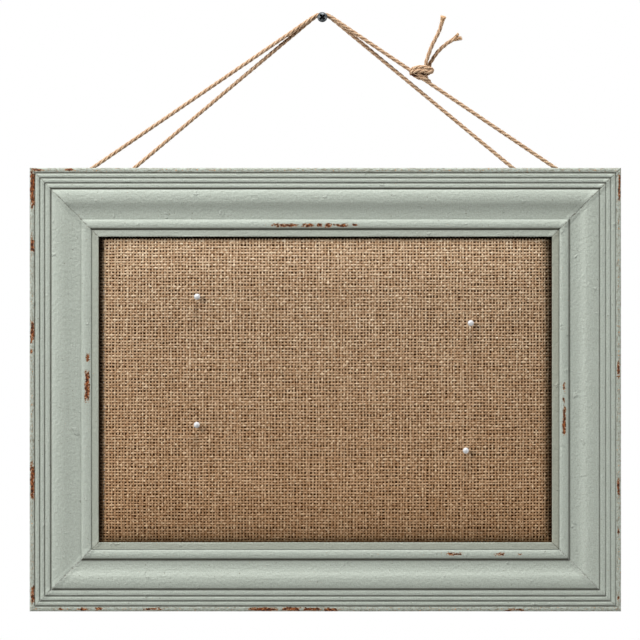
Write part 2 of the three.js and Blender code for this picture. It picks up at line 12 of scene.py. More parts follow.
import bpy
import numpy as np
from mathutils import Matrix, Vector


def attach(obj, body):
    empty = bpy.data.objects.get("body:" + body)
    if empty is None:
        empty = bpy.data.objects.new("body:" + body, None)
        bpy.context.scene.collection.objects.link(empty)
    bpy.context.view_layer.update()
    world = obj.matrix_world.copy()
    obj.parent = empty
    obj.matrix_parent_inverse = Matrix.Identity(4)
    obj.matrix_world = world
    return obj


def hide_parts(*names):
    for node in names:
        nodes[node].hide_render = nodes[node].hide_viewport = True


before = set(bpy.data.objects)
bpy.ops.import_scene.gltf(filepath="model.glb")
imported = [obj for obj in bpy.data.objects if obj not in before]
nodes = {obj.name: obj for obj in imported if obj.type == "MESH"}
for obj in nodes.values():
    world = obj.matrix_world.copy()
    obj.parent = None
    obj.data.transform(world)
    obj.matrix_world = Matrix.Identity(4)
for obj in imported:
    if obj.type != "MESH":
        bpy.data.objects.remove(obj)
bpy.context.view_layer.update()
scene = bpy.context.scene
chance = np.random.default_rng(11)
MM = 0.001
TO_WALL = np.array([0.0, 1.0, 0.0])

# %% [markdown]
# ## Camera
#
# The photograph looks straight at the board from far away: its edges are parallel and no inner side of
# the frame shows. A long lens at four and a half metres gives the same view. The lens follows from the
# width that the picture takes in at the board's front.

# %% Camera
VIEW_WIDTH, VIEW_DISTANCE = 549.6, 4500.0
VIEW_MIDDLE = np.array([-2.0, -30.0, -261.3])


def in_scene(name, data):
    """A new object in the scene."""
    made = bpy.data.objects.new(name, data)
    scene.collection.objects.link(made)
    return made


lens = bpy.data.cameras.new("camera")
lens.sensor_width = 36.0
lens.lens = lens.sensor_width * VIEW_DISTANCE / VIEW_WIDTH
lens.clip_end = 100.0
scene.camera = in_scene("camera", lens)
scene.camera.location = (VIEW_MIDDLE - VIEW_DISTANCE * TO_WALL) * MM
scene.camera.rotation_euler = (np.pi / 2, 0.0, 0.0)
print("lens", round(lens.lens, 1), "mm")

# %% [markdown]
# ## Light
#
# Shadows of the pins fall to the lower right, and the upper sides of the mouldings are much brighter
# than the lower ones, so the strongest lamp is overhead and a little in front, and two smaller ones
# stand at the upper left. Two more graze the board from its sides and draw the reeds. A surface that
# faces a lamp squarely gets its written colour when the lamp's power is about ten times the distance
# squared, so each lamp's power is a share of that. A weak lamp behind keeps the back readable.

# %% Light
scene.view_settings.view_transform = "Standard"
BOARD_MIDDLE = np.array([2.6, -30.0, -321.1])
LAMPS = {  # direction from the board's middle, distance, size, share of the power
    "top_lamp": ((0.0, -0.25, 0.97), 1900.0, 600.0, 1.35),
    "upper_left_lamp": ((-0.55, -0.35, 0.75), 3200.0, 700.0, 0.15),
    "key_lamp": ((-0.7, -0.65, 0.44), 3200.0, 180.0, 0.7),
    "right_lamp": ((0.98, -0.17, 0.0), 2600.0, 1200.0, 0.68),
    "left_lamp": ((-0.98, -0.17, 0.0), 2600.0, 1200.0, 0.46),
    "back_lamp": ((0.5, 1.0, 0.6), 2200.0, 1200.0, 0.5),
}
for name, (towards, distance, size, share) in LAMPS.items():
    direction = np.array(towards) / np.linalg.norm(towards)
    light = bpy.data.lights.new(name, "AREA")
    light.size = size * MM
    light.energy = share * np.pi**2 * (distance * MM) ** 2
    lamp = in_scene(name, light)
    lamp.location = (BOARD_MIDDLE + direction * distance) * MM
    lamp.rotation_mode = "QUATERNION"
    lamp.rotation_quaternion = Vector(-direction).to_track_quat("-Z", "Y")
print("lamps:", *LAMPS)

# %% [markdown]
# ## Backdrop
#
# The photograph's ground is plain white. The world is white to the camera, to mirrors and through
# glass, and a dim grey to everything else, so the white adds no light to the board.

# %% Backdrop
AMBIENT = 0.02

scene.world = bpy.data.worlds.new("studio")
scene.world.use_nodes = True
tree = scene.world.node_tree
ray = tree.nodes.new("ShaderNodeLightPath")
seen = ray.outputs["Is Camera Ray"]
for kind in ("Is Glossy Ray", "Is Transmission Ray"):
    either = tree.nodes.new("ShaderNodeMath")
    either.operation = "MAXIMUM"
    tree.links.new(seen, either.inputs[0])
    tree.links.new(ray.outputs[kind], either.inputs[1])
    seen = either.outputs[0]
level = tree.nodes.new("ShaderNodeMapRange")
level.inputs["To Min"].default_value = AMBIENT
level.inputs["To Max"].default_value = 1.0
tree.links.new(seen, level.inputs["Value"])
ground = tree.nodes["Background"]
ground.inputs["Color"].default_value = (1.0, 1.0, 1.0, 1.0)
tree.links.new(level.outputs[0], ground.inputs["Strength"])

# %% [markdown]
# ## Meshes from arrays
#
# Every new piece is a grid of points: rows run one way over its surface and columns the other. The
# faces of a grid depend only on its size, so one helper makes them for all pieces. Most pieces are
# tubes of some kind: a grid that closes round its columns, with a face over each end.

# %% Meshes from arrays
def grid_corners(rows, columns, close_rows=False, close_columns=False):
    """Row and column numbers of each quad's corners; a closed direction goes on past its last line."""
    row = np.arange(rows if close_rows else rows - 1)
    column = np.arange(columns if close_columns else columns - 1)
    row, column = np.meshgrid(row, column, indexing="ij")
    rows_of = np.stack([row, row, row + 1, row + 1], -1).reshape(-1, 4)
    columns_of = np.stack([column, column + 1, column + 1, column], -1).reshape(-1, 4)
    return rows_of, columns_of


def grid_faces(rows, columns, close_rows=False, close_columns=False):
    """Quads between neighbouring points of a grid whose points are counted row by row."""
    rows_of, columns_of = grid_corners(rows, columns, close_rows, close_columns)
    return (rows_of % rows) * columns + columns_of % columns


def repeated(faces, points_each, count):
    """The same faces for each of many copies whose points follow one another."""
    return (faces[None] + np.arange(count)[:, None, None] * points_each).reshape(-1, faces.shape[1])


def tube_faces(rings, sides, count=1, flip=False):
    """Quads and end faces of equal tubes that follow one another; flip turns all of them round."""
    quads = repeated(grid_faces(rings, sides, close_columns=True), rings * sides, count)
    first = np.arange(count)[:, None] * rings * sides
    last = first + (rings - 1) * sides
    caps = np.concatenate([first + np.arange(sides)[::-1], last + np.arange(sides)])
    return (quads[:, ::-1], caps[:, ::-1]) if flip else (quads, caps)


def new_piece(name, points, quads, finish, body, stands_for=(), caps=(), sharp=None):
    """A piece from points in millimetres, quads and a few larger faces, riding on a CAD body."""
    corners = np.concatenate([quads.ravel(), *caps]).astype(np.int32)
    sizes = np.concatenate([np.full(len(quads), 4), [len(cap) for cap in caps]]).astype(np.int32)
    starts = np.concatenate([[0], np.cumsum(sizes)[:-1]]).astype(np.int32)
    mesh = bpy.data.meshes.new(name)
    mesh.vertices.add(points.size // 3)
    mesh.vertices.foreach_set("co", (points * MM).astype(np.float32).ravel())
    mesh.loops.add(len(corners))
    mesh.loops.foreach_set("vertex_index", corners)
    mesh.polygons.add(len(sizes))
    mesh.polygons.foreach_set("loop_start", starts)
    mesh.polygons.foreach_set("use_smooth", np.ones(len(sizes), bool))
    mesh.update(calc_edges=True)
    if sharp is not None:
        mesh.set_sharp_from_angle(angle=np.radians(sharp))
    made = in_scene(name, mesh)
    mesh.materials.append(finish)
    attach(made, body)
    if stands_for:
        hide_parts(*stands_for)
    return made


def store(piece, name, values):
    """One number for each point of a piece, which its material reads by name."""
    attribute = piece.data.attributes.new(name, "FLOAT", "POINT")
    attribute.data.foreach_set("value", np.asarray(values, np.float32).ravel())


def store_map(piece, name, along, across):
    """A flat map with two lengths in millimetres for each corner of each quad; larger faces get none."""
    values = np.zeros((len(piece.data.loops), 2), np.float32)
    values[: along.size, 0] = along.ravel()
    values[: across.size, 1] = across.ravel()
    layer = piece.data.uv_layers.new(name=name)
    layer.data.foreach_set("uv", values.ravel())


def triangles(piece):
    return sum(len(p.vertices) - 2 for p in piece.data.polygons)


# %% [markdown]
# ## Finishes from nodes
#
# Each finish is a small net of nodes around one shader. The helper below keeps the recipes short: each
# of its calls adds a node and gives back what comes out of it. Colours are written as they would be
# picked on a screen and turned into the linear light that the shader works with.

# %% Finishes from nodes
def colour(red, green, blue):
    """A screen colour from 0 to 255 as linear light, by the usual power of 2.4 with its straight foot."""
    screen = np.array([red, green, blue]) / 255.0
    linear = np.where(screen <= 0.04045, screen / 12.92, ((screen + 0.055) / 1.055) ** 2.4)
    return (*linear.tolist(), 1.0)


class Finish:
    """A material under making. An input takes a number, a colour or what comes out of another node."""

    def __init__(self, name):
        self.material = bpy.data.materials.new(name)
        self.material.use_nodes = True
        self.tree = self.material.node_tree
        self.shader = self.tree.nodes["Principled BSDF"]

    def feed(self, socket, value):
        if isinstance(value, bpy.types.NodeSocket):
            self.tree.links.new(value, socket)
        else:
            socket.default_value = value

    def node(self, kind, inputs=(), output=0, **settings):
        made = self.tree.nodes.new("ShaderNode" + kind)
        for name, value in settings.items():
            setattr(made, name, value)
        for key, value in dict(inputs).items():
            self.feed(made.inputs[key], value)
        return made.outputs[output]

    def place(self):
        """Where a point is on the object, in millimetres."""
        metres = self.node("TexCoord", output="Object")
        return self.node("VectorMath", {0: metres, "Scale": 1.0 / MM}, operation="SCALE")

    def map(self, name, along=1.0, across=1.0):
        """A piece's own flat map, with each of its directions stretched."""
        flat = self.node("UVMap", uv_map=name)
        return self.node("Mapping", {"Vector": flat, "Scale": (along, across, 1.0)})

    def stored(self, name):
        return self.node("Attribute", output="Fac", attribute_name=name)

    def noise(self, place, scale=1.0, detail=2.0, roughness=0.5):
        inputs = {"Vector": place, "Scale": scale, "Detail": detail, "Roughness": roughness}
        return self.node("TexNoise", inputs)

    def maths(self, operation, *values):
        """Values added, multiplied or compared, one after another."""
        result = values[0]
        for value in values[1:]:
            result = self.node("Math", {0: result, 1: value}, operation=operation)
        return result

    def add(self, *values):
        return self.maths("ADD", *values)

    def times(self, *values):
        return self.maths("MULTIPLY", *values)

    def most(self, *values):
        return self.maths("MAXIMUM", *values)

    def about(self, noise, reach):
        """A noise moved to lie about zero and stretched."""
        return self.times(self.maths("SUBTRACT", noise, 0.5), reach)

    def between(self, value, low, high, to_low=0.0, to_high=1.0):
        """Rises smoothly from one level to another while the value goes from low to high."""
        inputs = {"Value": value, "From Min": low, "From Max": high, "To Min": to_low, "To Max": to_high}
        return self.node("MapRange", inputs, interpolation_type="SMOOTHSTEP")

    def mix(self, share, first, second, blend="MIX"):
        """A share of the second colour in the first; three numbers are a screen colour."""
        first, second = (colour(*c) if isinstance(c, tuple) else c for c in (first, second))
        inputs = {0: share, 6: first, 7: second}
        return self.node("Mix", inputs, output=2, data_type="RGBA", blend_type=blend)

    def bump(self, height, depth, strength=1.0):
        return self.node("Bump", {"Height": height, "Distance": depth * MM, "Strength": strength})

    def done(self, **inputs):
        for name, value in inputs.items():
            self.feed(self.shader.inputs[name.replace("_", " ")], value)
        return self.material


def speckled(name, dark, light, scale, detail, ragged=0.5, bump=None, **shader):
    """A finish whose colour drifts between two tones by one noise, which can raise its surface too."""
    made = Finish(name)
    drift = made.noise(made.place(), scale, detail, ragged)
    if bump:
        shader["Normal"] = made.bump(drift, *bump)
    return made.done(Base_Color=made.mix(drift, dark, light), **shader)


# %% [markdown]
# ## Floor
#
# A pale floor lies well below the board, out of the picture. It belongs to the stage and not to the
# board.

# %% Floor
FLOOR_HEIGHT, FLOOR_REACH = -1500.0, 1200.0
FLOOR_CORNERS = [(-1, -1), (1, -1), (1, 1), (-1, 1)]

floor_mesh = bpy.data.meshes.new("floor")
floor_points = [(x * FLOOR_REACH * MM, y * FLOOR_REACH * MM, FLOOR_HEIGHT * MM) for x, y in FLOOR_CORNERS]
floor_mesh.from_pydata(floor_points, [], [(0, 1, 2, 3)])
floor_pale = speckled("floor_pale", (226, 226, 224), (236, 236, 235), 0.004, 3.0, Roughness=0.7)
floor_mesh.materials.append(floor_pale)
floor = in_scene("floor", floor_mesh)
print("floor at", FLOOR_HEIGHT, "mm")

# %% [markdown]
# ## The twine's route
#
# One length of jute twine goes twice from the frame to the screw. From the knot it runs over the screw,
# down to the outer eye on the left, back through the inner eye, over the screw behind itself, and the
# same way on the right. The route is straight between turns, and each turn is an arc of two twine
# diameters. These numbers repeat the CAD part's.

# %% Twine route
SEAT_GAP = 0.3
FRAME_WIDTH, FRAME_HEIGHT, FRAME_TOP = 508.0, 381.0, -130.6
BOARD_X, BACK_Y = 2.6, -10.0
TWINE_RADIUS, TWINE_BEND = 1.75, 7.0
EYE_RING, EYE_WIRE, EYE_RISE = 3.7, 0.9, 5.0
SHANK_RADIUS = 1.9
PASS_STEP = TWINE_RADIUS + SEAT_GAP / 2
TWINE_Y = BACK_Y + EYE_RISE
OVER_SCREW = SHANK_RADIUS + SEAT_GAP + TWINE_RADIUS
EYES = {  # side, in from the frame's side, down from its top
    "left_outer": (-1, 42.0, 9.5),
    "left_inner": (-1, 54.2, 25.9),
    "right_inner": (1, 56.8, 25.9),
    "right_outer": (1, 44.4, 9.5),
}
order = ["screw_front", "left_outer", "left_inner", "screw_rear", "right_inner", "right_outer"]
turns = {
    "screw_front": np.array([0.0, TWINE_Y - PASS_STEP, OVER_SCREW]),
    "screw_rear": np.array([0.0, TWINE_Y + PASS_STEP, OVER_SCREW]),
}
for name, (side, in_from_side, down) in EYES.items():
    eye_x = BOARD_X + side * (FRAME_WIDTH / 2 - in_from_side)
    turns[name] = np.array([eye_x, TWINE_Y, FRAME_TOP - down])


def unit(vector):
    return vector / np.linalg.norm(vector, axis=-1, keepdims=True)


def bisector(before, corner, after):
    """Directions back and on from a corner, the one that halves their angle, and half that angle."""
    back, on = unit(before - corner), unit(after - corner)
    return back, on, unit(back + on), np.arccos(np.clip(back @ on, -1, 1)) / 2


def pull(name):
    """The direction that halves the angle between a turn's two strands, and half that angle."""
    at = order.index(name)
    before, after = order[at - 1], order[(at + 1) % len(order)]
    return bisector(turns[before], turns[name], turns[after])[2:]


def corner_of(name):
    """Where a turn's two strands would meet: the bend's middle, moved out against the pull."""
    inward, half = pull(name)
    return turns[name] + inward * (TWINE_BEND - TWINE_BEND / np.sin(half))


def rounded(corners, steps=24):
    """A route through corners with each corner replaced by an arc that touches both of its sides."""
    parts = [corners[:1]]
    share = np.linspace(0, 1, steps)[:, None]
    for before, corner, after in zip(corners, corners[1:], corners[2:]):
        back, on, inward, half = bisector(before, corner, after)
        centre = corner + inward * TWINE_BEND / np.sin(half)
        first = corner + back * TWINE_BEND / np.tan(half) - centre
        last = corner + on * TWINE_BEND / np.tan(half) - centre
        turn = np.pi - 2 * half
        arc_points = np.sin((1 - share) * turn) * first + np.sin(share * turn) * last
        parts.append(centre + arc_points / np.sin(turn))
    return np.concatenate([*parts, corners[-1:]])


def lengths(path):
    """How far along a path each of its points is."""
    return np.concatenate([[0.0], np.cumsum(np.linalg.norm(np.diff(path, axis=0), axis=1))])


def even(path, step):
    """The same path with points a fixed step apart."""
    along = lengths(path)
    stops = np.linspace(0, along[-1], int(round(along[-1] / step)) + 1)
    return np.stack([np.interp(stops, along, path[:, axis]) for axis in range(3)], -1)


KNOT_DISTANCE, KNOT_OFFSET = 101.2, 3.9
KNOT_UPPER_REACH, KNOT_LOWER_REACH = 9.7, 8.0
route_corners = np.array([corner_of(name) for name in order])
strand_down = unit(route_corners[-1] - route_corners[0])
strand_above = np.array([-strand_down[2], 0.0, strand_down[0]])
knot_foot = route_corners[0] + strand_down * KNOT_DISTANCE
knot_middle = knot_foot + strand_above * KNOT_OFFSET
upper_end = knot_foot - strand_down * KNOT_UPPER_REACH
lower_end = knot_foot + strand_down * KNOT_LOWER_REACH
loop_path = even(rounded(np.concatenate([[upper_end], route_corners, [lower_end]])), 1.0)
print("twine loop", round(lengths(loop_path)[-1]), "mm, knot at", knot_middle.round(1))

# %% [markdown]
# ## Jute
#
# Raw jute is pale tan with darker, redder fibres in it. The fibres run nearly along the yarn, so the
# noise that colours them is stretched along the yarn's map. The grooves between yarns are painted
# dark, as shade: each point knows how far it faces out from the twine's middle, and the finish reads
# that.

# %% Jute finish
jute = Finish("jute")
fibres = jute.noise(jute.map("yarn_map", 0.55, 5.0), 1.0, 4.0, 0.6)
patches = jute.noise(jute.map("yarn_map", 0.12, 0.5))
facing_out = jute.stored("facing_out")
jute_tan = jute.mix(jute.between(fibres, 0.34, 0.66), (144, 108, 77), (212, 188, 160))
jute_tan = jute.mix(jute.between(patches, 0.45, 0.7, 0.0, 0.6), jute_tan, (154, 119, 89))
# Painted shade in the grooves between yarns and in the knot's hollow.
jute_shade = jute.mix(jute.between(facing_out, -2.0, -0.8), (34, 18, 10), (100, 60, 36))
jute_colour = jute.mix(jute.between(facing_out, -0.1, 0.55), jute_shade, jute_tan)
jute_bump = jute.bump(fibres, 0.12, 0.7)
jute.done(Base_Color=jute_colour, Roughness=0.92, Specular_IOR_Level=0.1, Normal=jute_bump)
print("jute nodes:", len(jute.tree.nodes))

# %% [markdown]
# ## Three-ply twine
#
# Jute twine is three yarns laid round each other. Each yarn is a tube whose middle runs on a helix
# about the route, a third of a turn apart, so the twisted look comes from the shape and not from a
# picture. Under load the twine is flat where it bears on the screw.

# %% Three-ply twine
LAY = 16.5
YARN_RADIUS, YARN_OFFSET, YARN_SIDES = 1.08, 0.67, 10
PLY_SHIFT = 40.0
PRESS_REACH, PRESS_SHARE = 5.0, 0.5


def round_angles(count):
    return 2 * np.pi * np.arange(count) / count


def across_path(path):
    """Two directions square to a path: one sideways in the wall's plane and one out of it."""
    ahead = unit(np.gradient(path, axis=0))
    side = unit(np.cross(ahead, TO_WALL))
    return side, np.cross(side, ahead)


def laid_twine(path, splay=1.0, thin=1.0, turn=0.0):
    """Three yarns round a path: circle angle = ring angle + lay angle.

    A yarn's middle is the path + an offset at the lay angle. splay and thin scale the offset and the
    yarn's radius along the path."""
    along = lengths(path)
    side, out = across_path(path)
    splay, thin = np.broadcast_to(splay, len(path)), np.broadcast_to(thin, len(path))
    lay = 2 * np.pi * (along / LAY + np.arange(3)[:, None] / 3 + turn)
    ring = round_angles(YARN_SIDES)
    middle = np.cos(lay)[..., None] * side + np.sin(lay)[..., None] * out
    angle = lay[..., None] + ring
    spoke = np.cos(angle)[..., None] * side[:, None] + np.sin(angle)[..., None] * out[:, None]
    centre = path + YARN_OFFSET * splay[:, None] * middle
    points = centre[:, :, None] + YARN_RADIUS * thin[:, None, None] * spoke
    return points, np.broadcast_to(np.cos(ring), points.shape[:3]), along


def pressed_flat(points):
    """Height over the screw's shank shrinks to half above its axis, less and less to both sides."""
    bearing = SHANK_RADIUS + SEAT_GAP
    from_axis = np.hypot(points[..., 0], points[..., 2])
    squeeze = 1 - PRESS_SHARE * np.exp(-((points[..., 0] / PRESS_REACH) ** 2))
    closer = (bearing + (from_axis - bearing) * squeeze) / from_axis
    return points * np.stack([closer, np.ones_like(closer), closer], -1)


def twine_piece(name, strands, stands_for):
    """One piece from stretches of laid twine, with its groove values and its map along the yarns."""
    quads, caps, along, around, start = [], [], [], [], 0
    for yarns, _, distance in strands:
        plies, stops, sides = yarns.shape[:3]
        faces, ends = tube_faces(stops, sides, plies, flip=True)
        quads.append(faces + start)
        caps.extend(ends + start)
        rows_of, columns_of = (of[:, ::-1] for of in grid_corners(stops, sides, close_columns=True))
        shift = PLY_SHIFT * np.repeat(np.arange(plies), len(rows_of))[:, None]
        along.append(np.tile(distance[rows_of], (plies, 1)))
        around.append(np.tile(columns_of * 2 * np.pi * YARN_RADIUS / sides, (plies, 1)) + shift)
        start += plies * stops * sides
    points = np.concatenate([yarns.reshape(-1, 3) for yarns, _, _ in strands])
    quads = np.concatenate(quads)
    made = new_piece(name, points, quads, jute.material, "board", [stands_for], caps)
    store(made, "facing_out", np.concatenate([facing.ravel() for _, facing, _ in strands]))
    store_map(made, "yarn_map", np.concatenate(along), np.concatenate(around))
    return made


loop_yarns, loop_facing, loop_along = laid_twine(loop_path)
loop_strand = (pressed_flat(loop_yarns), loop_facing, loop_along)
twine_loop = twine_piece("twine_loop_laid", [loop_strand], "twine_loop")
print("twine loop triangles:", triangles(twine_loop))

# %% [markdown]
# ## Knot
#
# The twine's ends meet in a knot on the right outer strand. Two turns lie across its top, and the
# strand comes out below them past a dark hollow on the left. The same strand runs straight through
# behind. Each turn is a smooth curve through a few places, measured from the knot's middle to the
# right, back and up, and has its own fullness.

# %% Knot
KNOT_TURNS = [
    (1.12, [(-9.2, 1.8, -0.4), (-8.8, -1.0, 2.2), (-5.2, -2.4, 4.2), (0.4, -2.8, 4.7),
            (5.6, -2.4, 3.8), (8.6, -0.8, 2.3), (7.6, 1.8, 0.8)]),
    (1.12, [(-9.0, 2.2, -1.0), (-8.4, -1.2, 0.6), (-5.0, -3.0, 1.4), (0.2, -3.4, 1.5),
            (4.9, -3.0, 0.8), (8.2, -1.0, 0.9), (7.6, 1.8, 1.8)]),
    (1.12, [(-9.0, 1.2, 1.6), (-4.6, 1.4, 2.6), (0.4, 1.2, 2.8), (5.0, 1.0, 2.4), (7.8, 0.4, 1.6)]),
    (0.95, [(-8.0, 1.4, 0.2), (-7.2, 0.8, -1.6), (-5.2, 0.4, -3.2), (-2.8, 0.2, -4.4),
            (0.4, 0.4, -5.2), (3.6, 0.6, -6.4)]),
    (1.1, [(-3.4, 0.4, -0.2), (-1.8, -1.4, -2.2), (0.2, -2.2, -3.8), (2.4, -1.8, -5.2),
           (4.6, -0.8, -6.6), (6.8, 0.2, -8.0)]),
    (1.0, [(0.6, 1.6, -0.4), (2.2, 1.2, -1.8), (3.2, 0.8, -3.2), (4.4, 0.6, -5.0)]),
    (1.2, [(-8.4, 1.8, -0.6), (-4.6, 2.0, -1.0), (-0.6, 2.0, -1.2), (3.2, 1.8, -0.8), (6.8, 1.4, 0.4)]),
]
TURN_STEP = 0.23
HOLLOW_RIGHT, HOLLOW_UP, HOLLOW_BACK = -4.6, -1.7, -1.6
HOLLOW_WIDE, HOLLOW_HIGH, HOLLOW_FADE, HOLLOW_DARK = 4.2, 1.7, 0.8, 3.0


def smooth_path(places, step=0.5):
    """A curve through places, by cubics whose slope at a place is half the way between its neighbours."""
    places = np.asarray(places, float)
    slope = np.gradient(places, axis=0)
    s = np.linspace(0, 1, 25)[:-1, None]
    parts = [
        a + (b - a) * s**2 * (3 - 2 * s) + slope_a * (s - 2 * s**2 + s**3) + slope_b * (s**3 - s**2)
        for a, b, slope_a, slope_b in zip(places, places[1:], slope, slope[1:])
    ]
    return even(np.concatenate([*parts, places[-1:]]), step)


def hollow_shade(points):
    """Shade in the hollow, which lies behind the front turns: an oval that fades from its middle."""
    right, back, up = np.moveaxis(points - knot_middle, -1, 0)
    wide, high = (right - HOLLOW_RIGHT) / HOLLOW_WIDE, (up - HOLLOW_UP) / HOLLOW_HIGH
    return HOLLOW_DARK * np.exp(-(wide**4) - high**4) * np.clip((back - HOLLOW_BACK) / HOLLOW_FADE, 0, 1)


through = np.linspace(upper_end - strand_down, lower_end + strand_down, 5) - knot_middle
knot_strands = []
for number, (full, places) in enumerate([*KNOT_TURNS, (1.0, through)]):
    yarns, facing, along = laid_twine(smooth_path(places) + knot_middle, full, full, TURN_STEP * number)
    knot_strands.append((yarns, facing - hollow_shade(yarns), along))
twine_knot = twine_piece("twine_knot_turns", knot_strands, "twine_knot")
print("knot triangles:", triangles(twine_knot))

# %% [markdown]
# ## Tails
#
# The two tails stand up from behind the knot and end frayed: over the last millimetres the three yarns
# open and thin.

# %% Tails
TAIL_UP = [(2.8, -0.9, 4.6), (3.4, -1.9, 7.1), (4.1, -2.2, 11.2), (8.3, -2.8, 22.8), (14.8, -3.4, 36.1),
           (18.2, -4.0, 47.6)]
TAIL_RIGHT = [(5.4, 1.6, 3.8), (6.4, 2.1, 6.1), (7.6, 1.9, 9.4), (14.3, 0.8, 18.9), (23.4, -0.6, 26.6),
              (31.9, -2.0, 30.9)]
FRAY_LENGTH, FRAY_POWER, FRAY_OPEN, FRAY_THIN = 8.0, 1.5, 0.9, 0.35


def tail(name, places, stands_for):
    """A tail along its places, and its path."""
    path = smooth_path(places) + knot_middle
    along = lengths(path)
    fray = np.clip(1 - (along[-1] - along) / FRAY_LENGTH, 0, 1) ** FRAY_POWER
    strand = laid_twine(path, 1 + FRAY_OPEN * fray, 1 - FRAY_THIN * fray)
    return twine_piece(name, [strand], stands_for), path


tail_up, tail_up_path = tail("twine_tail_up_laid", TAIL_UP, "twine_tail_up")
tail_right, tail_right_path = tail("twine_tail_right_laid", TAIL_RIGHT, "twine_tail_right")
print("tails", [lengths(path)[-1].round(1) for path in (tail_up_path, tail_right_path)], "mm")

# %% [markdown]
# ## Stray fibres
#
# Jute is hairy: fine fibres stand off the twine all along and burst out of its cut ends. Each fibre is
# a bent three-sided tube, and all of them together are one piece.

# %% Stray fibres
FIBRE_STOPS, FIBRE_SIDES = 5, 3
FIBRE_RADIUS, BRUSH_RADIUS = 0.055, 0.17
FIBRE_LEAN, FIBRE_BEND, BRUSH_BEND = 1.3, 0.35, 0.03
FIBRE_ROOT, FIBRE_LENGTHS, BRUSH_LENGTHS = 0.85, (0.4, 1.3), (0.6, 1.1)


def fibre_tubes(roots, directions, reach, radius, bend):
    """Thin tubes from roots: place = root + direction * s + bend * s squared, thinner to the tip."""
    share = np.linspace(0, 1, FIBRE_STOPS)[None, :, None]
    straight = directions[:, None] * reach[:, None, None]
    middle = roots[:, None] + straight * share + bend[:, None] * share**2
    ahead = unit(straight + 2 * bend[:, None] * share)
    side = unit(np.cross(ahead, unit(chance.normal(size=(len(roots), 1, 3)))))
    up = np.cross(ahead, side)
    ring = round_angles(FIBRE_SIDES)[:, None]
    spoke = np.cos(ring) * side[:, :, None] + np.sin(ring) * up[:, :, None]
    taper = radius * (1 - 0.5 * share)
    return middle[:, :, None] + taper[..., None] * spoke


def fibres_along(path, count, reach):
    """Fibres at random places on a path, standing off sideways and leaning along it."""
    side, out = across_path(path)
    at = chance.integers(2, len(path) - 2, count)
    turn = chance.uniform(0, 2 * np.pi, count)[:, None]
    away = np.cos(turn) * side[at] + np.sin(turn) * out[at]
    lean = chance.normal(0, FIBRE_LEAN, count)[:, None] * unit(np.gradient(path, axis=0))[at]
    length = reach * chance.uniform(*FIBRE_LENGTHS, count)
    bend = chance.normal(0, FIBRE_BEND, (count, 3)) * length[:, None]
    roots = path[at] + away * TWINE_RADIUS * FIBRE_ROOT
    return fibre_tubes(roots, unit(away + lean), length, FIBRE_RADIUS, bend)


def cut_brush(path, count, root_radius, tip_radius, back, beyond, lean):
    """Cut fibres from a disc inside a tail's end to a disc beyond it, moved to its left by the lean."""
    side, out = across_path(path)
    ahead = unit(path[-1] - path[-8])
    turn = chance.uniform(0, 2 * np.pi, (count, 1))
    out_from_middle = np.sqrt(chance.uniform(0, 1, (count, 1)))
    spoke = out_from_middle * (np.cos(turn) * side[-1] + np.sin(turn) * out[-1])
    roots = path[-1] - back * ahead + root_radius * spoke
    tips = path[-1] + beyond * chance.uniform(*BRUSH_LENGTHS, (count, 1)) * ahead + tip_radius * spoke
    tips = tips + lean * side[-1]
    reach = np.linalg.norm(tips - roots, axis=1)
    bend = chance.normal(0, BRUSH_BEND, (count, 3)) * reach[:, None]
    return fibre_tubes(roots, unit(tips - roots), reach, BRUSH_RADIUS, bend)


stray = np.concatenate([
    fibres_along(loop_path, 420, 1.8),
    fibres_along(tail_up_path, 30, 1.6),
    fibres_along(tail_right_path, 30, 1.6),
    cut_brush(tail_up_path, 170, 1.3, 2.5, 6.0, 1.2, 0.0),
    cut_brush(tail_right_path, 80, 1.2, 1.2, 7.0, 0.8, 2.6),
    cut_brush(tail_right_path, 130, 1.3, 1.9, 7.0, 1.6, -1.6),
])
stray_finish = speckled(
    "jute_fibre", (176, 136, 98), (214, 184, 148), 0.4, 2.0, Roughness=0.9, Specular_IOR_Level=0.1
)
stray_quads, stray_ends = tube_faces(FIBRE_STOPS, FIBRE_SIDES, len(stray))
twine_fibres = new_piece(
    "twine_fibres", stray, stray_quads, stray_finish, "board", caps=stray_ends
)
print("stray fibres:", len(stray), "triangles:", triangles(twine_fibres))

# %% [markdown]
# ## The moulding's section
#
# All four rails are cut from one moulding. From the outer edge inwards its members are a rounded edge,
# three reeds that step up, an ogee with a round shoulder, a bead, and a flat lip over the panel. Each
# member is an arc or a curve, and the section is their points in order. A second line gives the back,
# with the rabbet that holds the panel.

# %% Moulding section
EDGE_HEIGHT, REED_RISE, REED_STEP = 18.3, 1.1, 0.2
REED_WIDTHS = (4.5, 4.3, 4.3, 5.2)
OGEE_WIDTH, OGEE_SHOULDER, OGEE_RISE, OGEE_FALL, OGEE_SINK = 25.7, 7.2, 2.0, 3.4, 0.8
CREST_EASE, VALLEY_EASE = 0.45, 0.7
BEAD_WIDTH, BEAD_RISE, QUIRK_DEPTH = 9.4, 2.3, 0.7
LIP_WIDTH, LIP_THICKNESS, LIP_ARRIS = 5.7, 5.0, 0.6
RABBET_WIDTH, RABBET_DEPTH = 7.0, 13.3
LIP_FRONT = RABBET_DEPTH + LIP_THICKNESS
OGEE_START = sum(REED_WIDTHS)
BEAD_START = OGEE_START + OGEE_WIDTH
LIP_START = BEAD_START + BEAD_WIDTH
MOULDING_WIDTH = LIP_START + LIP_WIDTH


def arc(centre, radii, start, end, count):
    """Points on an ellipse between two angles in degrees, as [across, height]."""
    turn = np.radians(np.linspace(start, end, count))
    return np.stack([centre[0] + radii[0] * np.cos(turn), centre[1] + radii[1] * np.sin(turn)], -1)


def line(first, last, count):
    return np.linspace(first, last, count)


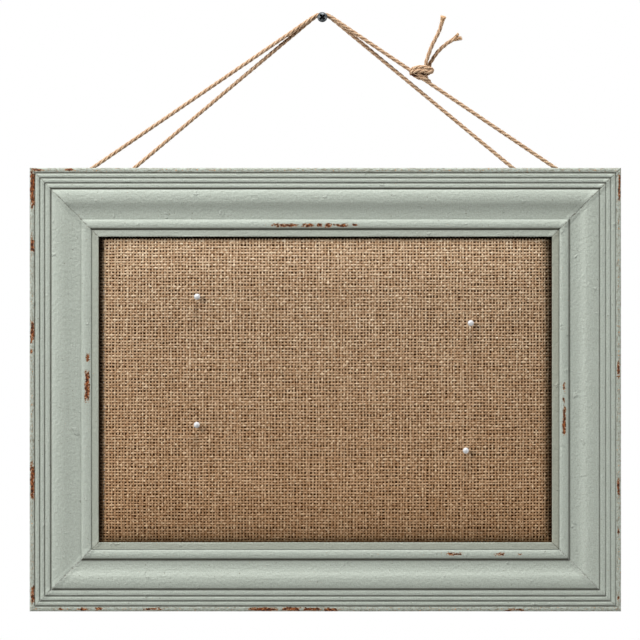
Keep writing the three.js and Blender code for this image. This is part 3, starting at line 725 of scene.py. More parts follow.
def front_section():
    """The moulding's face as [across, height] points, from the outer side's foot to the lip's."""
    parts = [line((0.0, 0.0), (0.0, EDGE_HEIGHT), 7)[:-1]]
    across, foot = 0.0, EDGE_HEIGHT
    for width in REED_WIDTHS:
        parts.append(arc((across + width / 2, foot), (width / 2, REED_RISE), 180, 0, 15))
        across, foot = across + width, foot + REED_STEP
    crest, valley = foot + OGEE_RISE, foot + OGEE_RISE - OGEE_FALL
    shoulder_end = OGEE_START + OGEE_SHOULDER
    start = np.arcsin(OGEE_SINK / (OGEE_RISE + OGEE_SINK))
    shoulder = (OGEE_SHOULDER / np.cos(start), OGEE_RISE + OGEE_SINK)
    parts.append(arc((shoulder_end, foot - OGEE_SINK), shoulder, 180 - np.degrees(start), 90, 14)[:-1])
    run = BEAD_START - shoulder_end
    handles = np.array([
        (shoulder_end, crest), (shoulder_end + CREST_EASE * run, crest),
        (BEAD_START - VALLEY_EASE * run, valley), (BEAD_START, valley),
    ])
    s = np.linspace(0, 1, 26)[:, None]
    weights = np.concatenate([(1 - s) ** 3, 3 * s * (1 - s) ** 2, 3 * s**2 * (1 - s), s**3], 1)
    parts.append(weights @ handles)
    bead_foot = (BEAD_START + BEAD_WIDTH / 2, valley - QUIRK_DEPTH)
    parts.append(arc(bead_foot, (BEAD_WIDTH / 2, BEAD_RISE), 180, 0, 23))
    arris = (MOULDING_WIDTH - LIP_ARRIS, LIP_FRONT - LIP_ARRIS)
    parts.append(line((LIP_START, LIP_FRONT), (arris[0], LIP_FRONT), 6))
    parts.append(arc(arris, (LIP_ARRIS, LIP_ARRIS), 80, 0, 6))
    parts.append(line((MOULDING_WIDTH, LIP_FRONT - 2 * LIP_ARRIS), (MOULDING_WIDTH, RABBET_DEPTH), 5))
    return np.concatenate(parts)


wall = MOULDING_WIDTH - RABBET_WIDTH
section = np.concatenate([
    front_section(),
    line((MOULDING_WIDTH - 1.5, RABBET_DEPTH), (wall, RABBET_DEPTH), 3),
    line((wall, RABBET_DEPTH - 3.0), (wall, 0.0), 3),
    line((wall - 10.0, 0.0), (6.0, 0.0), 4),
])
print("moulding", round(MOULDING_WIDTH, 1), "mm wide,", len(section), "points round")

# %% [markdown]
# ## Where the paint is worn
#
# The paint has gone in runs along the outer edge and the bead, where hands and corners rub. Each worn
# place is a stretch of one rail: from and to along the rail, clockwise round the frame, from and to
# across it from the outer edge, and how strongly it is worn. A point's wear is highest in the middle of
# a place and runs out to its outline. The finish then breaks that soft patch into crisp, ragged chips.

# %% Worn places
WORN = {
    "top": [
        (1, 12, 0.0, 3.4, 0.9), (29, 38, 0.0, 3.0, 0.8), (206, 232, 47.4, 51.4, 0.78),
        (232, 245, 47.4, 51.4, 0.85), (246, 252, 47.4, 51.2, 0.85), (253, 260, 47.2, 51.8, 0.95),
        (261, 275, 47.4, 51.4, 0.85), (277, 282, 47.6, 51.0, 0.8),
    ],
    "right": [
        (2, 30, 0.0, 2.6, 0.9), (165, 182, 0.4, 4.0, 0.8), (266, 283, 0.4, 4.0, 0.8),
        (310, 315, 1.0, 3.6, 0.8), (367, 372, 1.0, 3.6, 0.8), (184, 194, 47.4, 50.6, 0.7),
        (196, 202, 48.0, 50.4, 0.6), (203, 231, 47.0, 50.8, 0.95),
    ],
    "bottom": [
        (293, 321, 0.0, 4.0, 1.0), (274, 292, 0.0, 4.0, 1.0), (257, 274, 0.0, 3.8, 1.0),
        (243, 256, 0.0, 3.6, 0.95), (445.5, 452, 0.4, 3.6, 0.9), (458, 467.3, 0.4, 3.6, 0.9),
        (480, 483.6, 0.6, 3.4, 0.9), (393, 412, 0.8, 3.4, 0.75), (82, 100, 0.0, 2.8, 0.7),
        (136, 151, 47.4, 51.6, 0.66), (99, 109, 46.8, 51.0, 0.6), (84, 90, 47.8, 50.6, 0.7),
    ],
    "left": [
        (344, 383, 0.0, 5.0, 1.0), (308, 321, 0.4, 4.4, 1.0), (319, 324, 0.8, 3.4, 0.8),
        (231, 251, 0.4, 4.6, 1.0), (229, 235, 0.4, 3.0, 0.8), (220, 226, 0.4, 3.0, 0.8),
        (95, 130, 0.0, 4.6, 0.95), (6, 23, 0.6, 4.6, 0.9), (214, 222, 47.8, 52.0, 0.9),
        (178, 209, 46.8, 52.2, 0.95),
    ],
}


def worn_share(rail, along, across, height):
    """A worn place's strength, less to its outline: times 1 - u^4 along it and 1 - v^2 across it."""
    share = np.zeros(np.broadcast(along, across).shape)
    for start, end, near, far, strength in WORN[rail]:
        u = (2 * along - start - end) / (end - start)
        v = (2 * across - near - far) / (far - near)
        share = np.maximum(share, strength * np.clip(1 - u**4, 0, 1) * np.clip(1 - v**2, 0, 1))
    return share * (height > EDGE_HEIGHT - 3.0)


# %% [markdown]
# ## Sharp lines, and grooves with dirt and painted shade
#
# Lines that stand out are rubbed: the outer edge, the reeds' tops, the bead and the lip's arris. Dirt
# and painted shade darken the grooves at each reed, at the bead and at the lip, where a rail has a
# ledge: outside the bead at the bottom, inside it at the top and the sides. The painted shade differs
# from rail to rail and is moved a little to the side that faces down.

# %% Sharp lines, grooves with dirt and painted shade
ARRIS_AT = np.array([1.6, 2.4, 6.6, 10.9, 15.7, 49.5, 58.6])
ARRIS_REACH = np.array([1.6, 1.6, 0.8, 0.8, 0.8, 1.8, 0.6])
ARRIS_WEIGHT = np.array([1.0, 1.0, 0.3, 0.2, 0.2, 0.4, 0.3])
GROOVE_AT = np.array([*np.cumsum(REED_WIDTHS), BEAD_START, LIP_START - 0.3])
GROOVE_REACH = np.array([0.75, 0.75, 0.75, 1.2, 1.5, 1.4])
# How dark each groove is on each rail, as dirt and painted shade.
GROOVE_DIRT_AND_SHADE = {
    "top": (1.0, 1.0, 1.0, 1.0, 0.0, 1.0),
    "right": (0.6, 0.6, 0.6, 0.6, 0.75, 0.5),
    "bottom": (0.95, 0.95, 0.95, 0.95, 1.0, 0.0),
    "left": (0.8, 0.8, 0.8, 0.8, 0.25, 0.5),
}
# Painted shade: each groove's darkening is moved towards the side that faces down.
GROOVE_SHADE_SHIFT = {
    "top": (0.0, 0.0, 0.0, -0.5, 0.0, -0.6),
    "right": (0.0, 0.0, 0.0, 0.2, 0.5, 0.6),
    "bottom": (0.2, 0.2, 0.2, 0.9, 0.6, 0.0),
    "left": (0.0, 0.0, 0.0, 0.0, 0.0, 0.3),
}
# The lip's tint on each rail: partly age, partly painted shade, strongest where less light falls.
LIP_AGE_AND_SHADE = {"top": 0.5, "right": 1.6, "bottom": 1.1, "left": 0.9}


def near_lines(across, lines, reach, weight):
    """How near a place across the moulding is to lines: the most of weight * exp(-(distance / reach)^2)."""
    return (np.exp(-(((across[..., None] - lines) / reach) ** 2)) * weight).max(-1)


# %% [markdown]
# ## Grey-green paint
#
# The paint is a soft sage grey with a satin sheen. It was put on by brush along each rail, over a red-
# brown ground. Where it is worn, an orange rim shows first and then the ground. Fine specks of the same
# colour lie on all the sharp lines. The height of the paint's own layer is in the bump.

# %% Paint: where it is gone
paint = Finish("worn_paint")
rail_place = paint.map("rail_map")
worn_value = paint.stored("worn")
patchy = paint.noise(paint.map("rail_map", 0.16, 0.34), 1.0, 3.0, 0.55)
ragged = paint.noise(paint.map("rail_map", 0.42, 0.6), 1.0, 4.0, 0.68)
fine = paint.noise(rail_place, 0.8, 4.0, 0.7)
broken = paint.add(paint.about(patchy, 1.5), paint.about(ragged, 2.6), paint.about(fine, 1.5))
worn_here = paint.add(worn_value, broken)
chip = paint.times(paint.between(worn_here, 0.42, 0.46), paint.between(worn_value, 0.02, 0.12))
chip_core = paint.between(worn_here, 0.46, 0.62)
speck_level = paint.add(paint.noise(rail_place, 0.6, 4.0, 0.65), paint.times(paint.stored("arris"), 0.1))
bare = paint.most(chip, paint.between(speck_level, 0.7, 0.73))

wood_ground = paint.mix(paint.between(ragged, 0.38, 0.57), (150, 81, 38), (46, 18, 5))
flecks_left = paint.between(paint.noise(rail_place, 0.9, 3.0, 0.7), 0.58, 0.66, 0.0, 0.5)
wood_ground = paint.mix(flecks_left, wood_ground, (176, 150, 122))
bare_wood = paint.mix(chip_core, (194, 138, 88), wood_ground)

# %% Paint: coats, dirt, painted shade and cracks
to_mitre = paint.stored("to_mitre")
streaks = paint.noise(paint.map("rail_map", 0.05, 1.6), 1.0, 3.0)
smears = paint.noise(paint.map("rail_map", 0.2, 1.3), 1.0, 4.0, 0.65)
mottle = paint.most(paint.between(ragged, 0.5, 0.6, 0.0, 0.45), paint.between(smears, 0.54, 0.6, 0.0, 0.75))
pits = paint.between(paint.noise(rail_place, 0.42, 1.0), 0.735, 0.77, 0.0, 0.6)
crack_place = paint.add(to_mitre, paint.about(ragged, 2.2))
crack = paint.times(paint.between(crack_place, 0.05, 0.4, 0.6, 0.0), paint.between(patchy, 0.38, 0.52))
sage = paint.mix(paint.noise(rail_place, 0.035, 3.0), (159, 166, 156), (169, 176, 166))
for share, over in (
    (paint.between(streaks, 0.35, 0.75, 0.0, 0.35), (177, 186, 177)),
    (paint.between(fine, 0.34, 0.66, 0.0, 0.55), (142, 146, 136)),
    # The grooves' dark colour: dirt and painted shade.
    (paint.between(paint.stored("groove"), 0.2, 1.0, 0.0, 0.9), (60, 57, 46)),
    # The lip's tint: partly age, partly painted shade.
    (paint.times(paint.stored("lip"), 0.3), (136, 134, 116)),
    (paint.times(mottle, paint.stored("edge")), (98, 88, 70)),
    (pits, (96, 90, 76)),
    (crack, (92, 84, 68)),
):
    sage = paint.mix(share, sage, over)

peel = paint.noise(rail_place, 0.36, 4.0, 0.62)
lumps = paint.between(paint.noise(rail_place, 0.1, 2.0), 0.68, 0.74)
swelling = paint.times(paint.most(lumps, paint.between(to_mitre, 0.5, 4.0, 1.0, 0.0)), ragged)
layers = paint.add(paint.times(streaks, 0.15), paint.times(swelling, 0.6), paint.times(peel, 0.5))
paint_height = paint.maths("SUBTRACT", layers, paint.times(paint.most(bare, crack), 0.2))
paint.done(
    Base_Color=paint.mix(bare, sage, bare_wood),
    Roughness=paint.between(bare, 0.0, 1.0, 0.42, 0.75),
    Specular_IOR_Level=0.2,
    Normal=paint.bump(paint_height, 1.5),
)
print("paint nodes:", len(paint.tree.nodes))

# %% [markdown]
# ## Four mitred rails
#
# A rail is its section carried along a straight line. At both ends it is cut at 45 degrees, so a point
# lies as much nearer the rail's middle as it lies in from the outer edge. The top rail is turned by
# quarter turns to give the other three. Long, shallow waves keep the lines from looking ruled, and the
# worn places lie a little lower.

# %% Rails
MITRE_GAP, MITRE_FAR = 0.07, 30.0
RAIL_STEP, RAIL_MAP_SHIFT, RAIL_SHARP, RAIL_SEED = 1.7, 700.0, 42, 20
WAVE_LENGTHS, WAVE_HEIGHT, WEAR_DEPTH = (37.0, 61.0, 113.0, 190.0), 0.09, 0.1
EDGE_INNER, EDGE_FADE, EDGE_BACK, EDGE_BACK_FADE, EDGE_FLOOR = 4.6, 0.8, 7.0, 4.0, 0.15
FRAME_MIDDLE = np.array([BOARD_X, BACK_Y, FRAME_TOP - FRAME_HEIGHT / 2])


def turned_about(x, z, angle):
    """A turn about Y, clockwise for someone who looks at the board."""
    return x * np.cos(angle) + z * np.sin(angle), z * np.cos(angle) - x * np.sin(angle)


def on_rail(along, to_wall, across, quarter):
    """Places on a rail: along from its middle, towards the wall and in from its outer edge."""
    far = (FRAME_HEIGHT, FRAME_WIDTH)[quarter % 2] / 2
    x, z = turned_about(along, far - across, quarter * np.pi / 2)
    return np.stack(np.broadcast_arrays(x, to_wall, z), -1) + FRAME_MIDDLE


def outward(points):
    """Unit directions square to a section's line, pointing out of the wood."""
    ahead = unit(np.gradient(points, axis=0))
    return np.stack([-ahead[:, 1], ahead[:, 0]], -1)


def waves(along, across, seed):
    """A few long sine waves with random lengths and phases, added up."""
    draw = np.random.default_rng(seed)
    total = 0.0
    for length in WAVE_LENGTHS:
        phase = draw.uniform(0, 2 * np.pi, 2)
        slope = draw.uniform(0.02, 0.12) * across
        total = total + np.sin(2 * np.pi * along / length + phase[0] + slope) * np.sin(slope + phase[1])
    return total / len(WAVE_LENGTHS)


def rail(name, length, quarter):
    """Place = section across and up, along = u * (half the length - across), then quarter turns."""
    across, height = section.T
    stops, sides = int(length / RAIL_STEP), len(section)
    reach = length / 2 - across - MITRE_GAP / np.sqrt(2)
    along = np.linspace(-1, 1, stops)[:, None] * reach
    from_start = along + length / 2
    wear = worn_share(name, from_start, across, height)
    lift = WAVE_HEIGHT * waves(from_start, across, RAIL_SEED + quarter) - WEAR_DEPTH * wear
    lift = lift * (height > 2.0) * (across < MOULDING_WIDTH - 0.5)
    push = lift[..., None] * outward(section)
    points = on_rail(along, -(height + push[..., 1]), across + push[..., 0], quarter)
    quads, caps = tube_faces(stops, sides)
    piece, node = f"{name}_rail_painted", f"{name}_rail"
    made = new_piece(piece, points, quads, paint.material, "board", [node], caps, RAIL_SHARP)
    front = height > EDGE_HEIGHT - 1.0
    grooves = GROOVE_AT + GROOVE_SHADE_SHIFT[name]
    edge_front = np.clip((height - EDGE_HEIGHT + EDGE_BACK) / EDGE_BACK_FADE, EDGE_FLOOR, 1)
    values = {
        "worn": wear,
        "arris": near_lines(across, ARRIS_AT, ARRIS_REACH, ARRIS_WEIGHT) * front,
        "groove": near_lines(across, grooves, GROOVE_REACH, GROOVE_DIRT_AND_SHADE[name]) * front,
        "edge": np.clip((EDGE_INNER - across) / EDGE_FADE, 0, 1) * edge_front,
        "lip": LIP_AGE_AND_SHADE[name] * (across > LIP_START - 0.01),
        "to_mitre": np.minimum(reach - np.abs(along), MITRE_FAR) / np.sqrt(2),
    }
    for value, level in values.items():
        store(made, value, np.broadcast_to(level, wear.shape))
    round_it = lengths(np.concatenate([section, section[:1]]))
    rows_of, columns_of = grid_corners(stops, sides, close_columns=True)
    map_along = from_start[rows_of, columns_of % sides] + RAIL_MAP_SHIFT * quarter
    store_map(made, "rail_map", map_along, round_it[columns_of])
    return made


rail_lengths = {"top": FRAME_WIDTH, "right": FRAME_HEIGHT, "bottom": FRAME_WIDTH, "left": FRAME_HEIGHT}
rails = [rail(name, length, quarter) for quarter, (name, length) in enumerate(rail_lengths.items())]
print("rail triangles:", [triangles(piece) for piece in rails])

# %% [markdown]
# ## The panel's face
#
# The panel swells a little over its wadding and rolls down to nothing under the lip. How far it stands
# over its flat margin is a product of two rises, one from each pair of sides: a quick one over the roll
# and a slow one over the crown. Beside the lip the cloth lies in shade, deepest at the left side and
# the top.

# %% Panel face
SIGHT_WIDTH, SIGHT_HEIGHT = FRAME_WIDTH - 2 * MOULDING_WIDTH, FRAME_HEIGHT - 2 * MOULDING_WIDTH
BURLAP_FRONT = 13.0
ROLL_WIDTH, ROLL_RISE, ROLL_POWER = 9.0, 3.4, 1.2
ROLL_TOP_WIDTH, ROLL_BOTTOM_WIDTH = 5.0, 16.0
LEFT_SAG, RIGHT_SAG = 3.0, 2.0
CROWN_MARGIN, CROWN_RISE = 48.0, 5.0
LEFT_SHADE, RIGHT_SHADE = (6.2, 1.6, 0.92), (6.0, 1.8, 0.9)
TOP_SHADE, BOTTOM_SHADE = (2.6, 1.4, 1.0), (5.0, 0.0, 0.75)


def rise(distance, width):
    """A quarter sine from nothing at the side to 1 at a width."""
    return np.sin(np.pi / 2 * np.clip(distance / width, 0, 1))


def swell(x, z):
    """Height over the margin: rise times two quarter sines over the roll, plus the same over the crown.

    Along the left and right sides the cloth sags: the roll starts a few millimetres in from the lip. It is
    steep at the top and long at the bottom."""
    from_side = SIGHT_WIDTH / 2 - np.abs(x)
    from_end = SIGHT_HEIGHT / 2 - np.abs(z)
    in_from_side = from_side - np.where(x < 0, LEFT_SAG, RIGHT_SAG)
    end_width = np.where(z < 0, ROLL_BOTTOM_WIDTH, ROLL_TOP_WIDTH)
    roll = rise(in_from_side, ROLL_WIDTH) ** ROLL_POWER * rise(from_end, end_width)
    crown = rise(from_side, CROWN_MARGIN) * rise(from_end, CROWN_MARGIN)
    return ROLL_RISE * roll + CROWN_RISE * crown


def beside(distance, clear, dark, strength):
    """Shade that falls from its strength at one distance from the lip to nothing at another."""
    return strength * np.clip((clear - distance) / (clear - dark), 0, 1)


def gap_shade(x, z):
    """How deep in the shade of the lip the cloth lies: the deepest of the four sides' shades."""
    left = beside(SIGHT_WIDTH / 2 + x, *LEFT_SHADE)
    right = beside(SIGHT_WIDTH / 2 - x, *RIGHT_SHADE)
    top = beside(SIGHT_HEIGHT / 2 - z, *TOP_SHADE)
    bottom = beside(SIGHT_HEIGHT / 2 + z, *BOTTOM_SHADE)
    return np.maximum(np.maximum(left, right), np.maximum(top, bottom))


def on_panel(x, z, under=0.0):
    """A place on the panel's face, or under it by some depth."""
    x, z = np.broadcast_arrays(x, z)
    return np.stack([x, -(BURLAP_FRONT + swell(x, z) - under), z], -1) + FRAME_MIDDLE


print("sight", round(SIGHT_WIDTH, 1), "x", round(SIGHT_HEIGHT, 1), "mm")

# %% [markdown]
# ## Burlap finish
#
# The threads are pale tan, no two quite alike, with fibres that run along them. Towards its lower
# edge the cloth's colour is painted darker and browner, as painted shade.

# %% Burlap finish
burlap = Finish("burlap")
hairs = burlap.noise(burlap.map("thread_map", 0.9, 3.2), 1.0, 3.0, 0.65)
thread_tone = burlap.add(burlap.stored("tone"), burlap.about(hairs, 1.2))
burlap_colour = burlap.mix(burlap.between(thread_tone, 0.0, 0.5), (94, 55, 29), (164, 135, 105))
burlap_colour = burlap.mix(burlap.between(thread_tone, 0.45, 1.05), burlap_colour, (222, 205, 179))
# Painted shade: darker and browner towards the cloth's lower edge.
burlap_colour = burlap.mix(burlap.stored("lower_shade"), burlap_colour, (236, 221, 205), "MULTIPLY")
burlap_colour = burlap.mix(burlap.stored("shade"), burlap_colour, (30, 18, 9))
burlap_bump = burlap.bump(hairs, 0.15, 0.6)
burlap.done(Base_Color=burlap_colour, Roughness=0.95, Specular_IOR_Level=0.0, Normal=burlap_bump)

# %% [markdown]
# ## Burlap threads
#
# Burlap is woven of thick, uneven jute threads about two and a half millimetres apart, loose enough to
# leave holes between the crossings. Every thread is modelled: a ribbon with a round back that rises and
# sinks a little from one crossing to the next, as a cosine of its count of crossings. Both directions
# rise at the same crossings, so the threads run into each other there and are not truly woven. Widths,
# tones and lines wander along each thread, and here and there a thread swells into a slub.

# %% Burlap threads
WARP_PITCH, WEFT_PITCH = 2.70, 2.61
THREAD_WIDTH, THREAD_DEPTH, CRIMP = 1.72, 0.9, 0.24
UNDER_LIP = 3.0
RIBBON_ACROSS = np.array([-0.5, -0.2, 0.2, 0.5])
RIBBON_DROP = np.array([0.75, 0.0, 0.0, 0.75])
# Painted shade: each thread's colour darker along its sides.
RIBBON_SIDE_SHADE = np.array([-0.28, 0.06, 0.06, -0.28])
OFF_LINE, LINE_WANDER = 0.12, 0.18
SLUB_FROM, SLUB_WIDTH, SLUB_TONE = 2.2, 0.15, 0.03
THREAD_FULL, WIDTH_WANDER, HEIGHT_WANDER = 0.07, 0.18, 0.06
TONE_MIDDLE, TONE_EACH, TONE_SLOW, TONE_QUICK, HUMP_LIGHT_SHADE = 0.54, 0.02, 0.03, 0.12, 0.05
THREAD_MAP_SHIFT = 31.7


def wander(threads, stops, spacing, draw):
    """Slow random change along each thread: random levels at even places, joined by smooth steps."""
    levels = draw.normal(size=(threads, int(stops / spacing) + 3))
    at = np.arange(stops) / spacing
    first = at.astype(int)
    share = at - first
    share = share * share * (3 - 2 * share)
    return levels[:, first] * (1 - share) + levels[:, first + 1] * share


def threads(name, pitch, crossing_pitch, span, run, upright, seed):
    """Ribbons side by side along one direction: height = crimp * (-1)^thread * cos(pi * crossing).

    A warp and a weft thread get the same height where they cross."""
    draw = np.random.default_rng(seed)
    count = int(round((span + 2 * UNDER_LIP) / pitch))
    crossings = int(round((run + 2 * UNDER_LIP) / crossing_pitch))
    stops, sides = 2 * crossings + 1, len(RIBBON_ACROSS)
    crossing = np.arange(stops)[None] / 2 - 0.5
    lengthwise = ((crossing - (crossings - 1) / 2) * crossing_pitch)[..., None]
    sideways = (np.arange(count) - (count - 1) / 2)[:, None] * pitch
    sideways = sideways + OFF_LINE * draw.normal(size=(count, 1))
    sideways = sideways + LINE_WANDER * wander(count, stops, 9, draw)
    slub = np.clip(wander(count, stops, 9, draw) - SLUB_FROM, 0, 2)
    width = 1 + THREAD_FULL * draw.normal(size=(count, 1)) + WIDTH_WANDER * wander(count, stops, 1, draw)
    width = THREAD_WIDTH * np.clip(width + SLUB_WIDTH * slub, 0.55, 2.0)
    over_first = (-1.0) ** (np.arange(count)[:, None] + count + crossings)
    height = CRIMP * over_first * np.cos(np.pi * crossing) - CRIMP
    height = height + HEIGHT_WANDER * wander(count, stops, 5, draw)
    across = sideways[..., None] + width[..., None] * RIBBON_ACROSS
    depth = -height[..., None] + THREAD_DEPTH * RIBBON_DROP
    x, z = np.broadcast_arrays(*((across, lengthwise) if upright else (lengthwise, across)))
    turn = slice(None, None, 1 if upright else -1)
    quads = repeated(grid_faces(stops, sides), stops * sides, count)[:, turn]
    made = new_piece(name, on_panel(x, z, depth), quads, burlap.material, "board")
    tone = TONE_MIDDLE + TONE_EACH * draw.normal(size=(count, 1))
    tone = tone + TONE_SLOW * wander(count, stops, 11, draw)
    tone = tone + TONE_QUICK * wander(count, stops, 0.8, draw) + SLUB_TONE * slub
    # Painted light and shade: each thread lighter on its humps, darker in its dips and along its sides.
    tone = tone + HUMP_LIGHT_SHADE * (height / CRIMP + 1.0)
    store(made, "tone", tone[..., None] + RIBBON_SIDE_SHADE)
    store(made, "shade", gap_shade(x, z))
    # How far down the cloth a point lies, for the painted shade towards the lower edge.
    store(made, "lower_shade", np.clip(0.5 - z / SIGHT_HEIGHT, 0, 1))
    rows_of, columns_of = (of[:, turn] for of in grid_corners(stops, sides))
    shift = np.repeat(np.arange(count) * THREAD_MAP_SHIFT, len(rows_of))[:, None]
    along = np.tile(rows_of * crossing_pitch / 2, (count, 1)) + shift
    store_map(made, "thread_map", along, np.tile(columns_of * THREAD_WIDTH / (sides - 1), (count, 1)))
    return made


burlap_warp = threads("burlap_warp", WARP_PITCH, WEFT_PITCH, SIGHT_WIDTH, SIGHT_HEIGHT, True, 31)
burlap_weft = threads("burlap_weft", WEFT_PITCH, WARP_PITCH, SIGHT_HEIGHT, SIGHT_WIDTH, False, 32)
print("thread triangles:", triangles(burlap_warp), triangles(burlap_weft))

# %% [markdown]
# ## The burlap behind the threads
#
# Under the modelled threads lies the cloth as a sheet over the face, round the panel's edges and a
# turned-in margin behind the core, with its corners cut away. It is coloured deep brown as painted
# shade, which shows through the holes between the threads. Going out from the panel's middle, a
# point first lies on the face, then on the edge, then on the back, so each direction of the flat
# cloth folds by the same rule.

# %% Burlap sheet
CLOTH_UNDER = 1.25
FOLD_BACK_Y, FOLD_WIDTH = 3.6, 25.0
PANEL_OVERLAP, EDGE_IN = 6.5, 0.7
CLOTH_DROP = BURLAP_FRONT - CLOTH_UNDER - FOLD_BACK_Y


def folded(flat, half):
    """Place along a direction and how far back, for a distance on the flat cloth: face, edge, fold."""
    beyond = np.clip(np.abs(flat) - half, 0, None)
    inwards = np.clip(beyond - CLOTH_DROP, 0, None)
    return np.sign(flat) * (np.minimum(np.abs(flat), half) - inwards), np.minimum(beyond, CLOTH_DROP)


def flat_lines(half, sight):
    """Cloth lines: close over the roll and the folds, wide over the crown."""
    stops = [sight / 2 - CROWN_MARGIN, sight / 2 - ROLL_WIDTH, sight / 2, half, half + CLOTH_DROP]
    steps = [line(first, last, count)[:-1] for first, last, count in zip(stops, stops[1:], (12, 9, 4, 4))]
    outer = np.concatenate([*steps, line(stops[-1], stops[-1] + FOLD_WIDTH, 5)])
    return np.concatenate([-outer[::-1], line(-outer[0], outer[0], 24)[1:-1], outer])


half_width = SIGHT_WIDTH / 2 + PANEL_OVERLAP - EDGE_IN
half_height = SIGHT_HEIGHT / 2 + PANEL_OVERLAP - EDGE_IN
lines_x, lines_z = flat_lines(half_width, SIGHT_WIDTH), flat_lines(half_height, SIGHT_HEIGHT)
flat_x, flat_z = np.meshgrid(lines_x, lines_z, indexing="ij")
cloth_x, drop_x = folded(flat_x, half_width)
cloth_z, drop_z = folded(flat_z, half_height)
cloth = on_panel(cloth_x, cloth_z, CLOTH_UNDER)
behind = np.maximum(drop_x, drop_z)
edge_y = FRAME_MIDDLE[1] - (BURLAP_FRONT - CLOTH_UNDER) + behind
cloth[..., 1] = np.where(behind > 0, edge_y, cloth[..., 1])
outside = ((np.abs(flat_x) > half_width + 0.01) & (np.abs(flat_z) > half_height + 0.01)).ravel()
cloth_quads = grid_faces(*flat_x.shape)[:, ::-1]
cloth_quads = cloth_quads[~outside[cloth_quads].any(1)]
used, cloth_corners = np.unique(cloth_quads, return_inverse=True)
cloth_quads = cloth_corners.reshape(-1, 4)

matt = dict(Roughness=1.0, Specular_IOR_Level=0.0)
# The sheet's deep brown is painted shade for the holes between the threads.
hole_shade = speckled("burlap_shade", (38, 21, 11), (60, 36, 20), 0.9, 3.0, bump=(0.3, 0.6), **matt)
cloth_points = cloth.reshape(-1, 3)[used]
burlap_sheet = new_piece(
    "burlap_sheet", cloth_points, cloth_quads, hole_shade, "board", ["burlap_cover"]
)

# %% [markdown]
# ## Wadding
#
# A thin pad of white wadding lies between the burlap and the core and gives the panel its crown. It is
# closed all round: a swelling front and a flat back that share their rim.

# %% Wadding
PAD_BACK, PAD_UNDER, PAD_OVERLAP = 10.9, 1.6, 5.0
pad_lines_x = np.linspace(-1, 1, 60) * (SIGHT_WIDTH / 2 + PAD_OVERLAP)
pad_lines_z = np.linspace(-1, 1, 44) * (SIGHT_HEIGHT / 2 + PAD_OVERLAP)
pad_x, pad_z = np.meshgrid(pad_lines_x, pad_lines_z, indexing="ij")
pad_front = on_panel(pad_x, pad_z, PAD_UNDER)
pad_rear = np.stack([pad_x, np.full(pad_x.shape, -PAD_BACK), pad_z], -1) + FRAME_MIDDLE
at = np.arange(pad_x.size).reshape(pad_x.shape)
rim = np.concatenate([at[:-1, 0], at[-1, :-1], at[:0:-1, -1], at[0, :0:-1]])
rim_next = np.roll(rim, -1)
pad_sides = np.stack([rim, rim + pad_x.size, rim_next + pad_x.size, rim_next], -1)
pad_faces = grid_faces(*pad_x.shape)
pad_quads = np.concatenate([pad_faces[:, ::-1], pad_faces + pad_x.size, pad_sides])
wadding_white = speckled(
    "wadding", (214, 208, 196), (244, 241, 234), 0.25, 5.0, 0.7, bump=(0.6, 0.7), Roughness=1.0
)
pad_points = np.stack([pad_front, pad_rear])
wadding = new_piece("wadding", pad_points, pad_quads, wadding_white, "board", ["wadding_pad"])
print("wadding triangles:", triangles(wadding))

# %% [markdown]
# ## Fibreboard and hardboard
#
# These two are flat boards, so the CAD pieces stay and only get their finishes: pale pressed fibre that
# takes the pins, and brown hardboard with its faint pressed streaks behind.

# %% Fibreboard and hardboard
def dress(names, finish):
    """CAD pieces keep their shape and get a finish."""
    for name in names:
        nodes[name].data.materials.clear()
        nodes[name].data.materials.append(finish)


fibreboard = speckled(
    "fibreboard", (150, 122, 86), (196, 168, 126), 0.6, 6.0, 0.7, bump=(0.3, 0.5), Roughness=0.95
)
hardboard = Finish("hardboard")
pressed = hardboard.noise(hardboard.place(), 0.18, 8.0, 0.72)
clouds = hardboard.noise(hardboard.place(), 0.012, 3.0)
hard_brown = hardboard.mix(hardboard.between(pressed, 0.3, 0.7), (82, 52, 32), (128, 88, 58))
hard_brown = hardboard.mix(hardboard.between(clouds, 0.35, 0.7, 0.0, 0.4), hard_brown, (108, 70, 44))
hardboard.done(Base_Color=hard_brown, Roughness=0.62, Normal=hardboard.bump(pressed, 0.08, 0.5))
dress(["fibreboard_core"], fibreboard)
dress(["hardboard_back"], hardboard.material)

# %% [markdown]
# ## Metals
#
# The screws are zinc-plated steel, the eyes and turn buttons brass-plated, and the pins' needles bright
# steel. Plating is never even: broad clouds change its gloss, and fine scratches break it up.

# %% Metal finishes
def plating(name, dull, bright, gloss):
    """Metal whose colour drifts between two tones and whose roughness drifts about a middle value.

    Places that carry a value named pressed are as dark as a recess full of shade and dirt."""
    made = Finish(name)
    place = made.place()
    cloud = made.noise(place, 0.35, 4.0)
    scratch = made.noise(place, 3.0, 3.0, 0.7)
    tone = made.mix(made.between(cloud, 0.3, 0.7), dull, bright)
    tone = made.mix(made.stored("pressed"), tone, (22, 22, 22))
    rough = made.between(scratch, 0.25, 0.75, gloss - 0.08, gloss + 0.14)
    return made.done(Base_Color=tone, Metallic=1.0, Roughness=rough, Normal=made.bump(scratch, 0.02, 0.5))


zinc = plating("zinc_plate", (52, 55, 58), (84, 88, 90), 0.48)
brass = plating("brass_plate", (168, 132, 70), (206, 172, 104), 0.3)
steel = plating("bright_steel", (150, 152, 156), (196, 198, 202), 0.28)
dress([name for name in nodes if name.startswith(("pin_needle_", "v_nail_"))], steel)

# %% [markdown]
# ## Pins
#
# Each pin is a white plastic ball moulded on a steel needle. A ball is a row of rings from its front to
# its back, where it runs out in a small flat round the needle.

